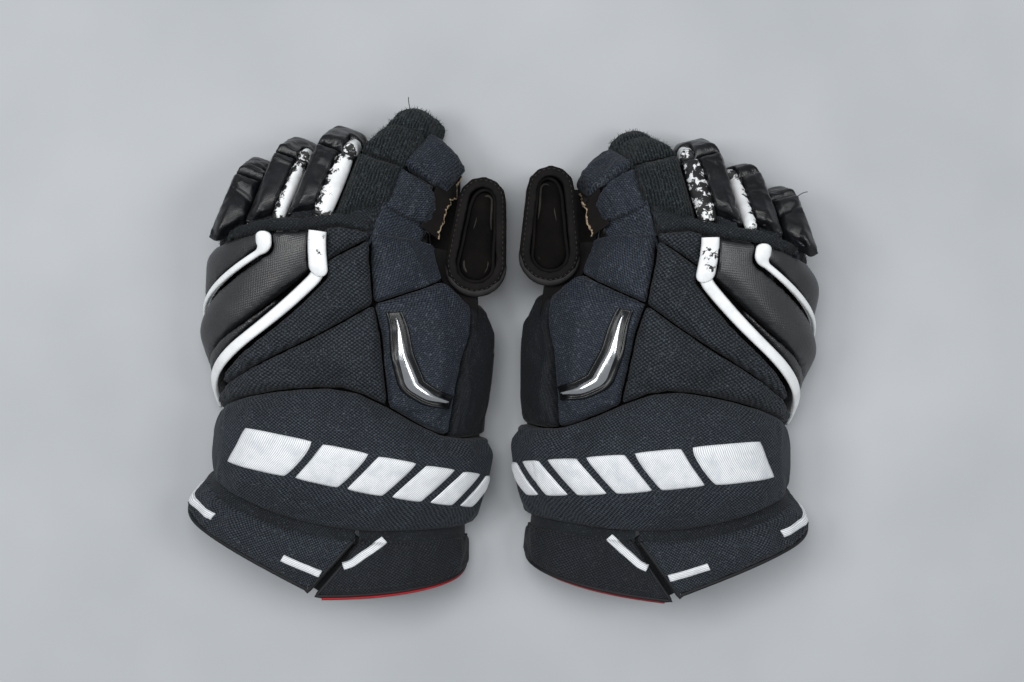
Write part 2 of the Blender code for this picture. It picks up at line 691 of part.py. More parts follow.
def add_cuffs(glove):
    """Two hinged flaps, each a stiff board under a thin pad."""
    flaps = (("back_cuff", back_hem, (-HEM_SHARE, CUFF_SPLIT_BACK), (-HEM_SHARE, CUFF_SPLIT_FRONT)),
             ("thumb_cuff", thumb_hem, (CUFF_SPLIT_BACK, HEM_SHARE), (CUFF_SPLIT_FRONT, HEM_SHARE)))
    for name, hem, hem_ends, seam_ends in flaps:
        hinge = flap_hinge(glove, name, seam_ends)
        outline = flap_outline(hem, hem_ends, seam_ends, 0.0)
        pad = pad_shape(outline, CUFF_PAD_THICK, CUFF_BOARD_THICK + CUFF_LAYER_GAP, CUFF_SPLIT_GAP)
        glove.add_on_hinge(name, pad, hinge, (BLACK_MESH, MESH_ROUGHNESS))
        outline = flap_outline(hem, hem_ends, seam_ends, CUFF_BOARD_MARGIN)
        board = pad_shape(outline, CUFF_BOARD_THICK, 0.0, CUFF_SPLIT_GAP, flat=True)
        glove.add_on_hinge(name + "_board", board, hinge, (BOARD_GREY, BOARD_ROUGHNESS))


class Finger:
    """Sizes of one finger."""

    def __init__(self, name, width, forward, axis, base, slope, tip, tip_slope, tip_bend):
        self.name = name
        self.width = width
        self.forward = forward
        self.axis = axis
        self.base = base
        self.slope = slope
        self.tip = tip
        self.tip_slope = tip_slope
        self.tip_bend = tip_bend

    def curled(self, knuckle, midjoint):
        """The same finger, curled further."""
        slope = self.slope + knuckle
        tip_slope = self.tip_slope + knuckle + midjoint
        return Finger(self.name, self.width, self.forward, self.axis, self.base, slope,
                      self.tip, tip_slope, self.tip_bend)


FINGERS = (
    Finger("index", INDEX_WIDTH, INDEX_FORWARD, INDEX_AXIS, INDEX_BASE, INDEX_SLOPE,
           INDEX_TIP, INDEX_TIP_SLOPE, INDEX_TIP_BEND),
    Finger("middle", MIDDLE_WIDTH, MIDDLE_FORWARD, MIDDLE_AXIS, MIDDLE_BASE, MIDDLE_SLOPE,
           MIDDLE_TIP, MIDDLE_TIP_SLOPE, MIDDLE_TIP_BEND),
    Finger("ring", RING_WIDTH, RING_FORWARD, RING_AXIS, RING_BASE, RING_SLOPE,
           RING_TIP, RING_TIP_SLOPE, RING_TIP_BEND),
    Finger("pinky", PINKY_WIDTH, PINKY_FORWARD, PINKY_AXIS, PINKY_BASE, PINKY_SLOPE,
           PINKY_TIP, PINKY_TIP_SLOPE, PINKY_TIP_BEND),
)
FINGER_FINISHES = {
    "index": (FUZZY_GREY, FUZZY_ROUGHNESS),
    "middle": (BLACK_VINYL, VINYL_ROUGHNESS),
    "ring": (BLACK_VINYL, VINYL_ROUGHNESS),
    "pinky": (BLACK_VINYL, VINYL_ROUGHNESS),
}


def finger_root(finger):
    """The middle of a finger's knuckle axis, counted across from the index finger."""
    lean = math.radians(FINGER_LEAN)
    ahead = Vector((math.sin(lean), math.cos(lean), 0.0))
    sideways = Vector((math.cos(lean), -math.sin(lean), 0.0))
    across = INDEX_WIDTH
    for neighbour in FINGERS:
        if neighbour.name == finger.name:
            break
        across -= neighbour.width
    across -= finger.width / 2
    corner = Vector((FINGER_CORNER_X, FINGER_CORNER_Y, finger.axis))
    return corner + sideways * across + ahead * finger.forward


def slope_run(height, degrees):
    """How far a face leaning by an angle goes over a height."""
    return height * math.tan(math.radians(degrees))


def finger_block(profile, width, top):
    """A block with a side profile (along, up), rounded on the edges of its padded top."""
    shape = bmesh.new()
    side = [shape.verts.new((-width / 2, along, up)) for along, up in profile]
    face = shape.faces.new(side)
    raised = bmesh.ops.extrude_face_region(shape, geom=[face], use_keep_orig=True)["geom"]
    far = [item for item in raised if isinstance(item, bmesh.types.BMVert)]
    bmesh.ops.translate(shape, vec=(width, 0.0, 0.0), verts=far)
    bmesh.ops.recalc_face_normals(shape, faces=shape.faces)
    padded = [profile[number] for number in top]
    marked = [vert for vert in shape.verts
              if any((vert.co.yz - Vector(point)).length < SAME_POINT for point in padded)]
    edges = [edge for edge in shape.edges if edge.verts[0] in marked and edge.verts[1] in marked]
    bmesh.ops.bevel(shape, geom=edges, offset=FINGER_EDGE, segments=FINGER_EDGE_STEPS,
                    affect="EDGES", profile=FINGER_EDGE_PROFILE)
    return shape


def skew_root(shape):
    """Slant the knuckle end of a finger to follow the line of the knuckles."""
    slant = math.tan(math.radians(KNUCKLE_SKEW))
    for vert in shape.verts:
        fade = 1.0 - smooth_step((vert.co.y - SKEW_HOLD) / SKEW_FADE)
        vert.co.y += vert.co.x * slant * fade


def base_profile(finger):
    """Side view of a finger's base segment, with its knuckle axis at the origin."""
    bend = finger.tip_slope - finger.slope
    lean = (bend - MIDJOINT_BACK - CUT_SPARE) / 2
    notch = (bend + MIDJOINT_CURL) / 2 + CUT_SPARE
    end = finger.base - HINGE_GAP
    return [
        (HINGE_GAP + slope_run(FINGER_PAD_RISE, KNUCKLE_BACK + CUT_SPARE), FINGER_PAD_RISE),
        (HINGE_GAP, 0.0),
        (HINGE_GAP + slope_run(STALL_DROP, KNUCKLE_CURL + CUT_SPARE), -STALL_DROP),
        (end - slope_run(STALL_DROP, notch), -STALL_DROP),
        (end, 0.0),
        (end + slope_run(FINGER_PAD_RISE, lean), FINGER_PAD_RISE),
    ]


def tip_profile(finger):
    """Side view of a finger's outer segment, with its middle joint at the origin, bent down to the floor."""
    bend = finger.tip_slope - finger.slope
    lean = (bend - MIDJOINT_BACK - CUT_SPARE) / 2
    notch = (bend + MIDJOINT_CURL) / 2 + CUT_SPARE
    turn = math.radians(finger.tip_bend)
    steep = math.radians(finger.tip_slope + finger.tip_bend)
    height = finger.axis - finger.base * math.sin(math.radians(finger.slope))
    height -= finger.tip * math.sin(math.radians(finger.tip_slope))
    lowest = max(STALL_DROP * math.cos(steep), -FINGER_PAD_RISE * TIP_TAPER * math.cos(steep))
    drop = (height - TIP_FLOOR_GAP - lowest) / math.sin(steep)
    onward = Vector((math.cos(turn), -math.sin(turn)))
    outward = Vector((math.sin(turn), math.cos(turn)))
    end = Vector((finger.tip, 0.0)) + onward * drop
    end_top = end + outward * FINGER_PAD_RISE * TIP_TAPER
    end_low = end - outward * STALL_DROP
    return [
        (HINGE_GAP - slope_run(FINGER_PAD_RISE, lean), FINGER_PAD_RISE),
        (HINGE_GAP, 0.0),
        (HINGE_GAP + slope_run(STALL_DROP, notch), -STALL_DROP),
        (finger.tip - STALL_DROP * math.tan(turn / 2), -STALL_DROP),
        (end_low.x, end_low.y),
        (end_top.x, end_top.y),
        (finger.tip + FINGER_PAD_RISE * math.tan(turn / 2), FINGER_PAD_RISE),
    ]


def stall_cutter(start, end, width):
    """The hollow that a finger goes into."""
    shape = bmesh.new()
    bmesh.ops.create_cube(shape, size=1.0)
    tall = STALL_DROP - STALL_WALL - STALL_ROOF
    bmesh.ops.scale(shape, vec=(width - 2 * STALL_WALL, end - start, tall), verts=shape.verts)
    middle = (0.0, (start + end) / 2, -STALL_ROOF - tall / 2)
    bmesh.ops.translate(shape, vec=middle, verts=shape.verts)
    return shape


def lean_sideways(shape, degrees):
    """Slant a shape to the thumb, the further out along the finger the more."""
    slant = math.tan(math.radians(degrees))
    for vert in shape.verts:
        vert.co.x += vert.co.y * slant


def add_finger(glove, finger):
    """The two segments of a finger on their hinges."""
    finish = FINGER_FINISHES[finger.name]
    turn = INDEX_TIP_TURN if finger.name == "index" else 0.0
    knuckle = glove.joint(finger.name + "_knuckle", glove.root, finger_root(finger),
                          -math.radians(finger.slope), -math.radians(FINGER_LEAN))
    middle = glove.joint(finger.name + "_midjoint", knuckle, (0.0, finger.base, 0.0),
                         -math.radians(finger.tip_slope - finger.slope))
    width = finger.width - FINGER_GAP
    shape = finger_block(base_profile(finger), width, (0, 5))
    skew_root(shape)
    base = glove.add(finger.name + "_base", shape, knuckle, finish)
    hollow = stall_cutter(-finger.base, 2 * finger.base, width)
    cut(base, glove.add(finger.name + "_base_hollow", hollow, knuckle, None, cutter=True))
    shape = finger_block(tip_profile(finger), width, (0, 5, 6))
    lean_sideways(shape, turn)
    tip = glove.add(finger.name + "_tip", shape, middle, finish)
    hollow = stall_cutter(-finger.tip, finger.tip, width)
    lean_sideways(hollow, turn)
    cut(tip, glove.add(finger.name + "_tip_hollow", hollow, middle, None, cutter=True))
    return knuckle, middle


def side_pad_shape(rear, front, notch_rear, notch_front):
    """A slanting pad beside the index finger: ends cut back more the lower they lie."""
    start = INDEX_WIDTH / 2
    tilt = math.radians(SIDE_PAD_TILT)
    outward = Vector((math.cos(tilt), 0.0, -math.sin(tilt)))
    upward = Vector((math.sin(tilt), 0.0, math.cos(tilt)))
    corner = Vector((start, 0.0, SIDE_PAD_TOP))
    shape = bmesh.new()
    loops = []
    for number in range(SIDE_PAD_STEPS):
        share = number / (SIDE_PAD_STEPS - 1)
        edge = 1.0 - abs(2 * share - 1.0) ** SIDE_PAD_EDGE_POWER
        thick = SIDE_PAD_THICK * (SIDE_PAD_EDGE_SHARE + (1.0 - SIDE_PAD_EDGE_SHARE) * edge)
        centre = corner + outward * SIDE_PAD_REACH * share
        high = centre + upward * (thick - SIDE_PAD_THICK)
        low = centre - upward * SIDE_PAD_THICK
        loop = []
        for point, end in ((high, 0), (high, 1), (low, 1), (low, 0)):
            lean = (notch_rear, notch_front)[end]
            back = slope_run(max(-point.z, 0.0), lean)
            along = rear + back if end == 0 else front - back
            loop.append(shape.verts.new((max(point.x, start), along, point.z)))
        loops.append(loop)
    for first, second in zip(loops, loops[1:]):
        for index in range(4):
            shape.faces.new([first[index - 1], first[index], second[index], second[index - 1]])
    shape.faces.new(loops[0])
    shape.faces.new(loops[-1][::-1])
    face_outwards(shape)
    return shape


def add_index_sides(glove, finger, knuckle, middle):
    """The slanting pads that cover the thumb side of the index finger."""
    bend = finger.tip_slope - finger.slope
    notch = (bend + MIDJOINT_CURL) / 2 + CUT_SPARE
    base = side_pad_shape(SIDE_PAD_START, finger.base - HINGE_GAP, KNUCKLE_CURL + CUT_SPARE, notch)
    tip = side_pad_shape(HINGE_GAP, finger.tip - SIDE_PAD_SHORT, notch, 0.0)
    lean_sideways(tip, INDEX_TIP_TURN)
    finish = FINGER_FINISHES["index"]
    glove.add("index_base_side", base, knuckle, finish)
    glove.add("index_tip_side", tip, middle, finish)


def thumb_outline(inset=0.0):
    """An oblong of two arcs round the thumb's root and tip, counter-clockwise."""
    root = Vector((THUMB_BACK_X, THUMB_BACK_Y))
    tip = Vector((THUMB_TIP_X, THUMB_TIP_Y))
    heading = math.atan2(tip.y - root.y, tip.x - root.x)
    points = []
    ends = ((tip, THUMB_TIP_RADIUS, -math.pi / 2), (root, THUMB_BACK_RADIUS, math.pi / 2))
    for centre, radius, start in ends:
        for step in range(THUMB_ARC_STEPS):
            turn = heading + start + math.pi * step / (THUMB_ARC_STEPS - 1)
            points.append(centre + Vector((math.cos(turn), math.sin(turn))) * (radius - inset))
    return points


def prism(outline, bottom, top):
    shape = bmesh.new()
    face = shape.faces.new([shape.verts.new((point.x, point.y, bottom)) for point in outline])
    raised = bmesh.ops.extrude_face_region(shape, geom=[face], use_keep_orig=True)["geom"]
    high = [item for item in raised if isinstance(item, bmesh.types.BMVert)]
    bmesh.ops.translate(shape, vec=(0.0, 0.0, top - bottom), verts=high)
    face_outwards(shape)
    return shape


def top_face(shape):
    return max(shape.faces, key=lambda face: face.calc_center_median().z)


def add_thumb(glove):
    """A stiff bowl with a rolled rim, a sunken lining over the thumb's hollow, and a mouth to the hand."""
    place = (THUMB_BACK_X, THUMB_BACK_Y - THUMB_BACK_RADIUS, THUMB_HINGE_HEIGHT)
    hinge = glove.joint("thumb_hinge", glove.root, place)
    shape = prism(thumb_outline(THUMB_RIM), THUMB_BOTTOM, THUMB_BOTTOM + THUMB_RIM)
    grow_top(shape, thumb_outline(), THUMB_BOTTOM + 2 * THUMB_RIM)
    grow_top(shape, thumb_outline(), THUMB_TOP - THUMB_RIM)
    grow_top(shape, thumb_outline(THUMB_RIM), THUMB_TOP)
    inner = thumb_outline(THUMB_WALL)
    grow_top(shape, inner, THUMB_TOP)
    grow_top(shape, inner, THUMB_BOTTOM + THUMB_FLOOR)
    bmesh.ops.recalc_face_normals(shape, faces=shape.faces)
    shell = glove.add_on_hinge("thumb_shell", shape, hinge, (DARK_SUEDE, SUEDE_ROUGHNESS))
    mouth = bmesh.new()
    bmesh.ops.create_cube(mouth, size=1.0)
    low = THUMB_BOTTOM + THUMB_FLOOR
    size = (THUMB_MOUTH_WIDTH, 3 * THUMB_WALL, THUMB_MOUTH_HEIGHT)
    bmesh.ops.scale(mouth, vec=size, verts=mouth.verts)
    middle = (THUMB_BACK_X, THUMB_BACK_Y - THUMB_BACK_RADIUS, low + THUMB_MOUTH_HEIGHT / 2)
    bmesh.ops.translate(mouth, vec=middle, verts=mouth.verts)
    cutter = glove.add("thumb_mouth", mouth, hinge, None, cutter=True)
    cutter.matrix_parent_inverse = hinge.matrix_basis.inverted()
    cut(shell, cutter)
    fit = THUMB_WALL + LAYER_GAP
    level = THUMB_TOP - THUMB_LINING_DROP
    lining = prism(thumb_outline(fit), level - THUMB_LINING_THICK, level)
    grow_top(lining, thumb_outline(fit + THUMB_LINING_CROWN), level + THUMB_LINING_CROWN)
    bmesh.ops.recalc_face_normals(lining, faces=lining.faces)
    glove.add_on_hinge("thumb_lining", lining, hinge, (DARK_SUEDE, LINING_ROUGHNESS))


def grow_top(shape, outline, height):
    """Extrude the last face of a turned-up shape to a new outline and height."""
    shape.faces.ensure_lookup_table()
    face = shape.faces.active or top_face(shape)
    ring = bmesh.ops.extrude_face_region(shape, geom=[face])["geom"]
    new_face = [item for item in ring if isinstance(item, bmesh.types.BMFace)][0]
    bmesh.ops.delete(shape, geom=[face], context="FACES_ONLY")
    for vert, point in zip(new_face.verts, outline):
        vert.co = (point.x, point.y, height)
    shape.faces.active = new_face


def centre_pair(gloves):
    """Stand the pair on the middle of its own outline."""
    bpy.context.view_layer.update()
    graph = bpy.context.evaluated_depsgraph_get()
    low = Vector((1.0, 1.0))
    high = Vector((-1.0, -1.0))
    for thing in bpy.context.collection.objects:
        if thing.type != "MESH" or thing.hide_render:
            continue
        solid = thing.evaluated_get(graph)
        for vert in solid.data.vertices:
            place = solid.matrix_world @ vert.co
            low = Vector((min(low.x, place.x), min(low.y, place.y)))
            high = Vector((max(high.x, place.x), max(high.y, place.y)))
    for glove in gloves:
        glove.root.location.x -= (low.x + high.x) / 2
        glove.root.location.y -= (low.y + high.y) / 2


def add_glove(prefix, side, x, y, yaw, curls):
    glove = Glove(prefix, side, x, y, yaw)
    add_hand(glove)
    add_cuffs(glove)
    for finger, curl in zip(FINGERS, curls):
        posed = finger.curled(*curl)
        knuckle, middle = add_finger(glove, posed)
        if posed.name == "index":
            add_index_sides(glove, posed, knuckle, middle)
    add_thumb(glove)
    return glove


def main():
    for thing in list(bpy.data.objects):
        bpy.data.objects.remove(thing)
    left_curls = ((0.0, 0.0),) * len(FINGERS)
    right_curls = (RIGHT_INDEX_CURL, RIGHT_MIDDLE_CURL, RIGHT_RING_CURL, RIGHT_PINKY_CURL)
    left = add_glove("left", 1, LEFT_GLOVE_X, LEFT_GLOVE_Y, LEFT_GLOVE_YAW, left_curls)
    right = add_glove("right", -1, RIGHT_GLOVE_X, RIGHT_GLOVE_Y, RIGHT_GLOVE_YAW, right_curls)
    centre_pair((left, right))


main()
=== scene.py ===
"""Dresses the solid parts of a pair of ice hockey gloves with their padded, sewn and worn surfaces."""

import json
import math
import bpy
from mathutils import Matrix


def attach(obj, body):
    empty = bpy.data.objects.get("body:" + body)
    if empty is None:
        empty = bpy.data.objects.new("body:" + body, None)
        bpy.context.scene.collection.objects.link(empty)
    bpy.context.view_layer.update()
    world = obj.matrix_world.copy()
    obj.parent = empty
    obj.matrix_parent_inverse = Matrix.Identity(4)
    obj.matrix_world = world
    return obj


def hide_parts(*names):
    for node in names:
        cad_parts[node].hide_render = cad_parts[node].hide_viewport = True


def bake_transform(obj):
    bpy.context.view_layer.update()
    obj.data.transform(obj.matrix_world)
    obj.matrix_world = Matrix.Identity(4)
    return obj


bl_info = {
    "name": "Hockey Glove Dressing",
    "version": (1, 0, 0),
    "blender": (4, 5, 0),
    "location": "View3D > Sidebar > Gloves",
    "description": "Builds the padded, sewn and worn surfaces of a pair of hockey gloves",
    "category": "Object",
}

import bmesh
import bpy
import numpy as np
from mathutils import Matrix, Vector, noise
from mathutils.bvhtree import BVHTree
from mathutils.kdtree import KDTree

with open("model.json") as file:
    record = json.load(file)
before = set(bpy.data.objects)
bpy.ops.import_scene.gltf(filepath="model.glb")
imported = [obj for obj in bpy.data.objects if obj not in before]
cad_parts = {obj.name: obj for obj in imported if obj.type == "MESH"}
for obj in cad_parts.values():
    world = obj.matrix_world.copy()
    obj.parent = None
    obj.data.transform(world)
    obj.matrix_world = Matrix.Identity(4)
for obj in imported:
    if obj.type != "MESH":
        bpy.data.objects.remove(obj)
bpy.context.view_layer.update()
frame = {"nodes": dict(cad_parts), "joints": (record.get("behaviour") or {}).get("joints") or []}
JOINTS = {joint["name"]: joint for joint in frame["joints"]}

# Vector noise takes its offsets from the clock unless it is given a seed
NOISE_SEED = 1

# The hand arch that the pads are sewn round, at four stations along a glove
STATIONS = np.array((-0.075, -0.020, 0.045, 0.110))
OUTER_REACH = np.array((0.104, 0.073, 0.086, 0.080))
THUMB_REACH = np.array((0.064, 0.073, 0.078, 0.046))
CROWN = np.array((0.052, 0.058, 0.064, 0.070))
HEM_HEIGHT = 0.0044
ARCH_SQUARENESS = 2.6
ARCH_SAMPLES = 240
HALF_GIRTH = 0.100
WEAVE_RADIUS = 0.075
WEAVE_FOOT = 0.004

# How the two gloves lie
LEFT_PLACE = (-0.09426, -0.03612)
RIGHT_PLACE = (0.09614, -0.03752)
RIGHT_YAW = -6.5

# Camera, straight above
CAMERA_PLACE = (0.00574, 0.00528, 1.10)
CAMERA_SENSOR = 36.0
METRES_PER_PIXEL = 0.000647
IMAGE_WIDTH = 1024

# Fingers: width, slope of the outer segment on each hand, bend of its end
FINGER_WIDTHS = {"index": 0.029, "middle": 0.027, "ring": 0.0235, "pinky": 0.0195}
TIP_SLOPES = {
    "left": {"index": 42.0, "middle": 72.0, "ring": 74.0, "pinky": 72.0},
    "right": {"index": 66.0, "middle": 78.0, "ring": 84.0, "pinky": 82.0},
}
TIP_BENDS = {"index": 34.0, "middle": 10.0, "ring": 10.0, "pinky": 10.0}
TIP_SPLIT_SHARE = 0.6
STALL_SPLIT = -0.001
FINGER_SWELL = 0.0018
FINGER_WRINKLE = 0.45

# Seams and stripes: share across the arch (-1 little finger hem, 1 thumb hem), distance along
STRIPE_ONE_SEAM = ((-0.97, 0.0580), (-0.305, 0.0985), (-0.300, 0.1077))
STRIPE_TWO_SEAM = ((-0.97, 0.0037), (-0.068, 0.0838), (-0.030, 0.1080))

# How the stripes widen: by what factor, and from what share of their length on
NARROW_FLARE = (2.0, 0.845)
WIDE_FLARE = (1.0, 0.78)
FLARE_RUN = 0.08
FLARE_RISE = 0.0012
FLARE_END = (0.965, 0.035)
FLARE_END_ROUND = 0.75
STRIPE_ROOM = 0.0008
STRIPE_EDGE_FALL = 0.0016
STRIPE_THICK = 0.004

# The puffed upper end of the wide stripe, and its scuffed place
STRIPE_CAP_PATH = ((-0.074, 0.0806), (-0.056, 0.0905), (-0.030, 0.1078))
STRIPE_CAP_WIDTH = 0.0098
STRIPE_CAP_FOOT = 0.22
STRIPE_CAP_RISE = (0.0004, 0.0020)
STRIPE_CAP_NARROWEST = 0.001
STRIPE_CAP_SCUFF = (-0.030, 0.0960)
STRIPE_CAP_SCUFF_SIZE = 0.008
STRIPE_CAP_WEAR = {"left": 0.34, "right": 0.52}

# Edges of the wrist roll and of the cuff flaps
HEM_SHARE = 0.97
CUFF_HINGE_GAP = 0.0045
CUFF_EDGE_INSET = 0.0015
CUFF_SPLIT_ROOM = 0.0015
CUFF_FOLD_LIFT = 0.0058
CUFF_LINE_EDGE_LIFT = 0.0066
CUFF_EDGE_LIFT = 0.0062
HEM_STITCH_INSET = 0.0060
HEM_STITCH_SHARE = 0.93
HEM_STITCH_SPLIT = (0.02, 0.06)
# The dark strip under the cuff split is painted shade, standing for the shadow where one flap overlaps the
# other
SPLIT_SHADE_STRIP_WIDTH = 0.014
SPLIT_SHADE_STRIP_LIFT = -0.0006
SPLIT_SHADE_STRIP_FALL = 0.0040
SPLIT_SHADE_STRIP_THICK = 0.001
CUFF_SPLIT_FRONT = 0.233
CUFF_SPLIT_BACK = -0.03
CUFF_WEB_SHORTER = 0.02
CUFF_WEB_OVERLAP = (0.0015, 0.0035)
CUFF_WEB_THICK = 0.0025

# Where the cuff's bending seam starts and ends: distance from the seam, and lift
CUFF_BEND_START = (0.004, 0.008)
CUFF_BEND_END = (0.004, 0.007)

# Edge binding and the red piping outside it, which lies lower on the right glove
BINDING_RADIUS = 0.00135
PIPING_RADIUS = 0.0010
PIPING_OUT = 0.0016
PIPING_DROP = {"left": 0.0004, "right": 0.0035}

# The back edge of the wrist roll and the flaps' free edges: start, fall or rise, span and curve over the arch
ROLL_EDGE = (-0.030, 0.046, 1.4)
BACK_HEM = (-0.052, 0.0606, 0.954, 0.9)
THUMB_HEM = (-0.1165, 0.016, 2.5)

# Stitches: spacing, length, radius
HEM_STITCHES = (0.0034, 0.0024, 0.00030)
THUMB_STITCHES = (0.0032, 0.0021, 0.00032)

# White lines sewn on the cuff flaps, and the middle line of the blocks sewn on the wrist roll
BACK_CUFF_LINES = (((-0.93, -0.0490), (-0.86, -0.0538), (-0.724, -0.0610), (-0.585, -0.0674)),
                   ((-0.178, -0.0910), (-0.084, -0.0960), (0.026, -0.1012)))
THUMB_CUFF_LINES = (((0.148, -0.0965), (0.195, -0.0948), (0.245, -0.0905), (0.370, -0.0806)),)
BLOCK_MIDDLE = -0.0345
BLOCK_FALL = 0.0235
BLOCK_WIDTHS = (0.034, 0.026, 0.020, 0.015, 0.011, 0.008)
BLOCK_START = -0.055
BLOCK_GAP = 0.0042
BLOCK_HALF_HEIGHT = 0.0120
BLOCK_HEIGHT_STEP = 0.0004
BLOCK_SLANT = 0.0045
BLOCK_ROUND = 0.10
BLOCK_RISE = (0.0003, 0.0011)
BLOCK_THICK = 0.0018
BLOCK_EDGE_LIFT = 0.021
LINE_WIDTH = 0.0046
LINE_RISE = (0.0002, 0.0008)
LINE_THICK = 0.0012

# The bright strip on the thumb side pad: path, and its width at shares of its length
BADGE_PATH = ((0.280, 0.0550), (0.300, 0.0320), (0.345, 0.0140), (0.430, 0.0070), (0.520, 0.0040))
BADGE_SHARES = (0.0, 0.25, 0.5, 0.62, 0.8, 1.0)
BADGE_WIDTHS = (0.0014, 0.0034, 0.0056, 0.0068, 0.0056, 0.0026)
BADGE_LIFT = 0.0154
BADGE_CROWN = (0.0012, 0.0012)
BADGE_EVEN = 11
BADGE_FRAME_ENDS = ((0.276, 0.0590), (0.545, 0.0035))
BADGE_FRAME_WIDER = 0.0062
BADGE_FRAME_RISE = (0.0004, 0.0011)
BADGE_THICK = 0.0016
BADGE_FRAME_THICK = 0.0012

# The thumb guard: centre and radius at its root and at its tip
THUMB_ROOT = (0.0775, 0.0895, 0.0190)
THUMB_TIP = (0.0815, 0.1285, 0.0150)
THUMB_WALL = 0.0065
THUMB_TOP = 0.047
THUMB_WRINKLE = 0.0006
THUMB_WRINKLE_SIZE = 0.012
THUMB_BAND_RADIUS = 0.0030

# Rings sewn in the thumb guard: inset, height, radius, lean, finish
THUMB_RINGS = {
    "inner_ring": (THUMB_WALL + 0.0012, THUMB_TOP - 0.0065, 0.0012, 0.02, "coated_leather"),
    "patch_ring": (THUMB_WALL + 0.0050, THUMB_TOP - 0.0090, 0.0009, 0.07, "rubbed_leather_seam"),
}
THUMB_RING_UNEVEN = 0.0009

# Inset and height of the band round the guard's root and of its stitches, and where the band ends
THUMB_BAND_RING = (0.0012, THUMB_TOP - 0.0040)
THUMB_STITCH_RING = (0.0022, THUMB_TOP - 0.0006)
THUMB_BAND_END = THUMB_ROOT[1] + 0.002

# The leather between thumb and index finger: reach across, run along, height, rounding of its far corner
CROTCH_SIDE = (0.0475, 0.0665)
CROTCH_RUN = {"left": (0.082, 0.146), "right": (0.082, 0.134)}
CROTCH_HEIGHT = 0.0026
CROTCH_SAG = 0.0005
CROTCH_FOLD = 0.0004
CROTCH_ROUND = (0.80, 0.009)
CROTCH_THICK = 0.0014
CROTCH_HOLD = 0.003

# The leather wall under the index finger: place across, run along, foot and top, fall of its top
WALL_SIDE = 0.0465
WALL_RUN = (0.084, 0.110)
WALL_HEIGHT = (0.0020, 0.0400)
WALL_FALL = 0.014
WALL_FOLD = 0.0008
WALL_THICK = 0.0012

# White rolls on the finger segments: width, place across, start and end along, wear left and right
FINGER_ROLLS = {
    "ring_base": (0.0088, 0.0070, -0.0030, 0.0385, 0.62, 0.40),
    "middle_base": (0.0122, 0.0070, -0.0020, 0.0410, 0.52, 1.33),
    "ring_tip": (0.0088, 0.0068, 0.0005, 0.0120, 0.45, 0.60),
    "middle_tip": (0.0105, 0.0075, 0.0005, 0.0170, 0.50, 0.80),
}
ROLL_TOP = 0.0118
ROLL_TALL = {"base": 0.0082, "tip": 0.012}
ROLL_FULLNESS = 0.22
ROLL_END_FULLNESS = 0.85
ROLL_DENT = 0.0004
ROLL_WEAR_LIMIT = 0.66
ROLL_WEAR_ALL = 0.26
ROLL_WEAR_ENDS = 1.3
ROLL_WEAR_SIDE = 1.7
ROLL_WEAR_FROM = 0.15

# How a finger pad gives way to its white roll: share pressed down, room round the roll, slope at its edge
GROOVE_SHARE = 0.42
GROOVE_ROOM = (0.001, 0.002)
GROOVE_SLOPE = 0.003

# The roots of the finger pads, drawn back to the knuckle welt: how far in the middle, and the slant
FINGER_ROOTS = {
    "index": (0.0052, 0.0),
    "middle": (0.0015, 0.06),
    "ring": (0.0045, 0.14),
    "pinky": (0.0130, 0.30),
}
ROOT_HOLD = -0.004
ROOT_FADE = 0.024
ROOT_BEND = 0.010
TIP_CLEARANCE = 0.0012

# The rounded corner of a root on its little finger side: size, and the shares of pull and height it keeps
ROOT_CORNER = 0.007
ROOT_CORNER_KEEP = 0.60
ROOT_CORNER_HEIGHT = 0.40

# Fabric across the bending seams: reach of its rays, depth sunk into the covers, thickness, sag
WEB_FITS = {
    "base": (0.06, 0.0015, 0.0025, 0.0008),
    "side": (0.07, 0.0015, 0.0025, 0.0008),
    "thumb": (0.022, 0.0015, 0.003, 0.001),
    "joint": (0.012, 0.0010, 0.0015, 0.0),
}
WEB_RAYS = 9
WEB_START = (-0.045, 0.005)
WEB_INSET = 0.0008
SIDE_WEB_SPAN = (-0.003, 0.030)
SIDE_WEB_RAYS = 14
THUMB_WEB_RING = (-0.002, 0.040)
THUMB_WEB_FACING = 0.9
THUMB_WEB_END = 0.116
JOINT_WEB_RISE = {"index": 0.0012, "middle": 0.004, "ring": 0.004, "pinky": 0.004}

# Creases across finger pads: place along, slant, depth, width
PINCHES = {
    "index_tip": (0.0250, 0.25, 0.0030, 0.0026),
    "pinky_base": (0.0180, -0.40, 0.0016, 0.0022),
    "pinky_tip": (0.0080, 0.30, 0.0014, 0.0020),
}
PINCH_TOP = 0.006

# Thread ends that stick out of the finger tips, with their directions
LOOSE_THREADS = {"left_index_tip": (-0.05, 1.0, 0.30), "right_pinky_tip": (1.0, 0.35, 0.25)}
LOOSE_THREAD = 0.008
LOOSE_THREAD_RADIUS = 0.00025
LOOSE_THREAD_SWAY = 0.0012

# Fuzz: body, number of thread ends, their length, and how far up a face has to look to carry one
FUZZ = {
    "index_base": ("index_base", 600, 0.0016, 0.45),
    "index_tip": ("index_tip", 900, 0.0020, -0.2),
    "knuckle_welt": ("hand", 700, 0.0012, -0.2),
}
FIBRE_LEAN = 0.8
FIBRE_RADII = (0.00016, 0.00005)

# How far in from a pad's edge its top curves down, and the share of its height lost at the edge
PAD_RIM = (0.0060, 0.24)
RIMS = {
    "wrist_roll": (0.0150, 0.26),
    "knuckle_welt": (0.0055, 0.58),
    "thumb_side_pad": (0.0050, 0.16),
    "back_cuff": (0.0040, 0.25),
    "thumb_cuff": (0.0040, 0.25),
}
FINGER_RIM = (0.0060, 0.30)
INDEX_RIM = (0.0110, 0.46)
SIDE_RIM = (0.0070, 0.34)
EDGE_FACING = 0.45
EVEN_FACING = 0.60
EVEN_ORDER = 5
SIDE_PAD_TILT = 34.0
SIDE_PAD_REACH = 0.037
SIDE_PAD_UP = (0.56, 0.0, 0.83)
SIDE_PAD_SWELL = 0.0016

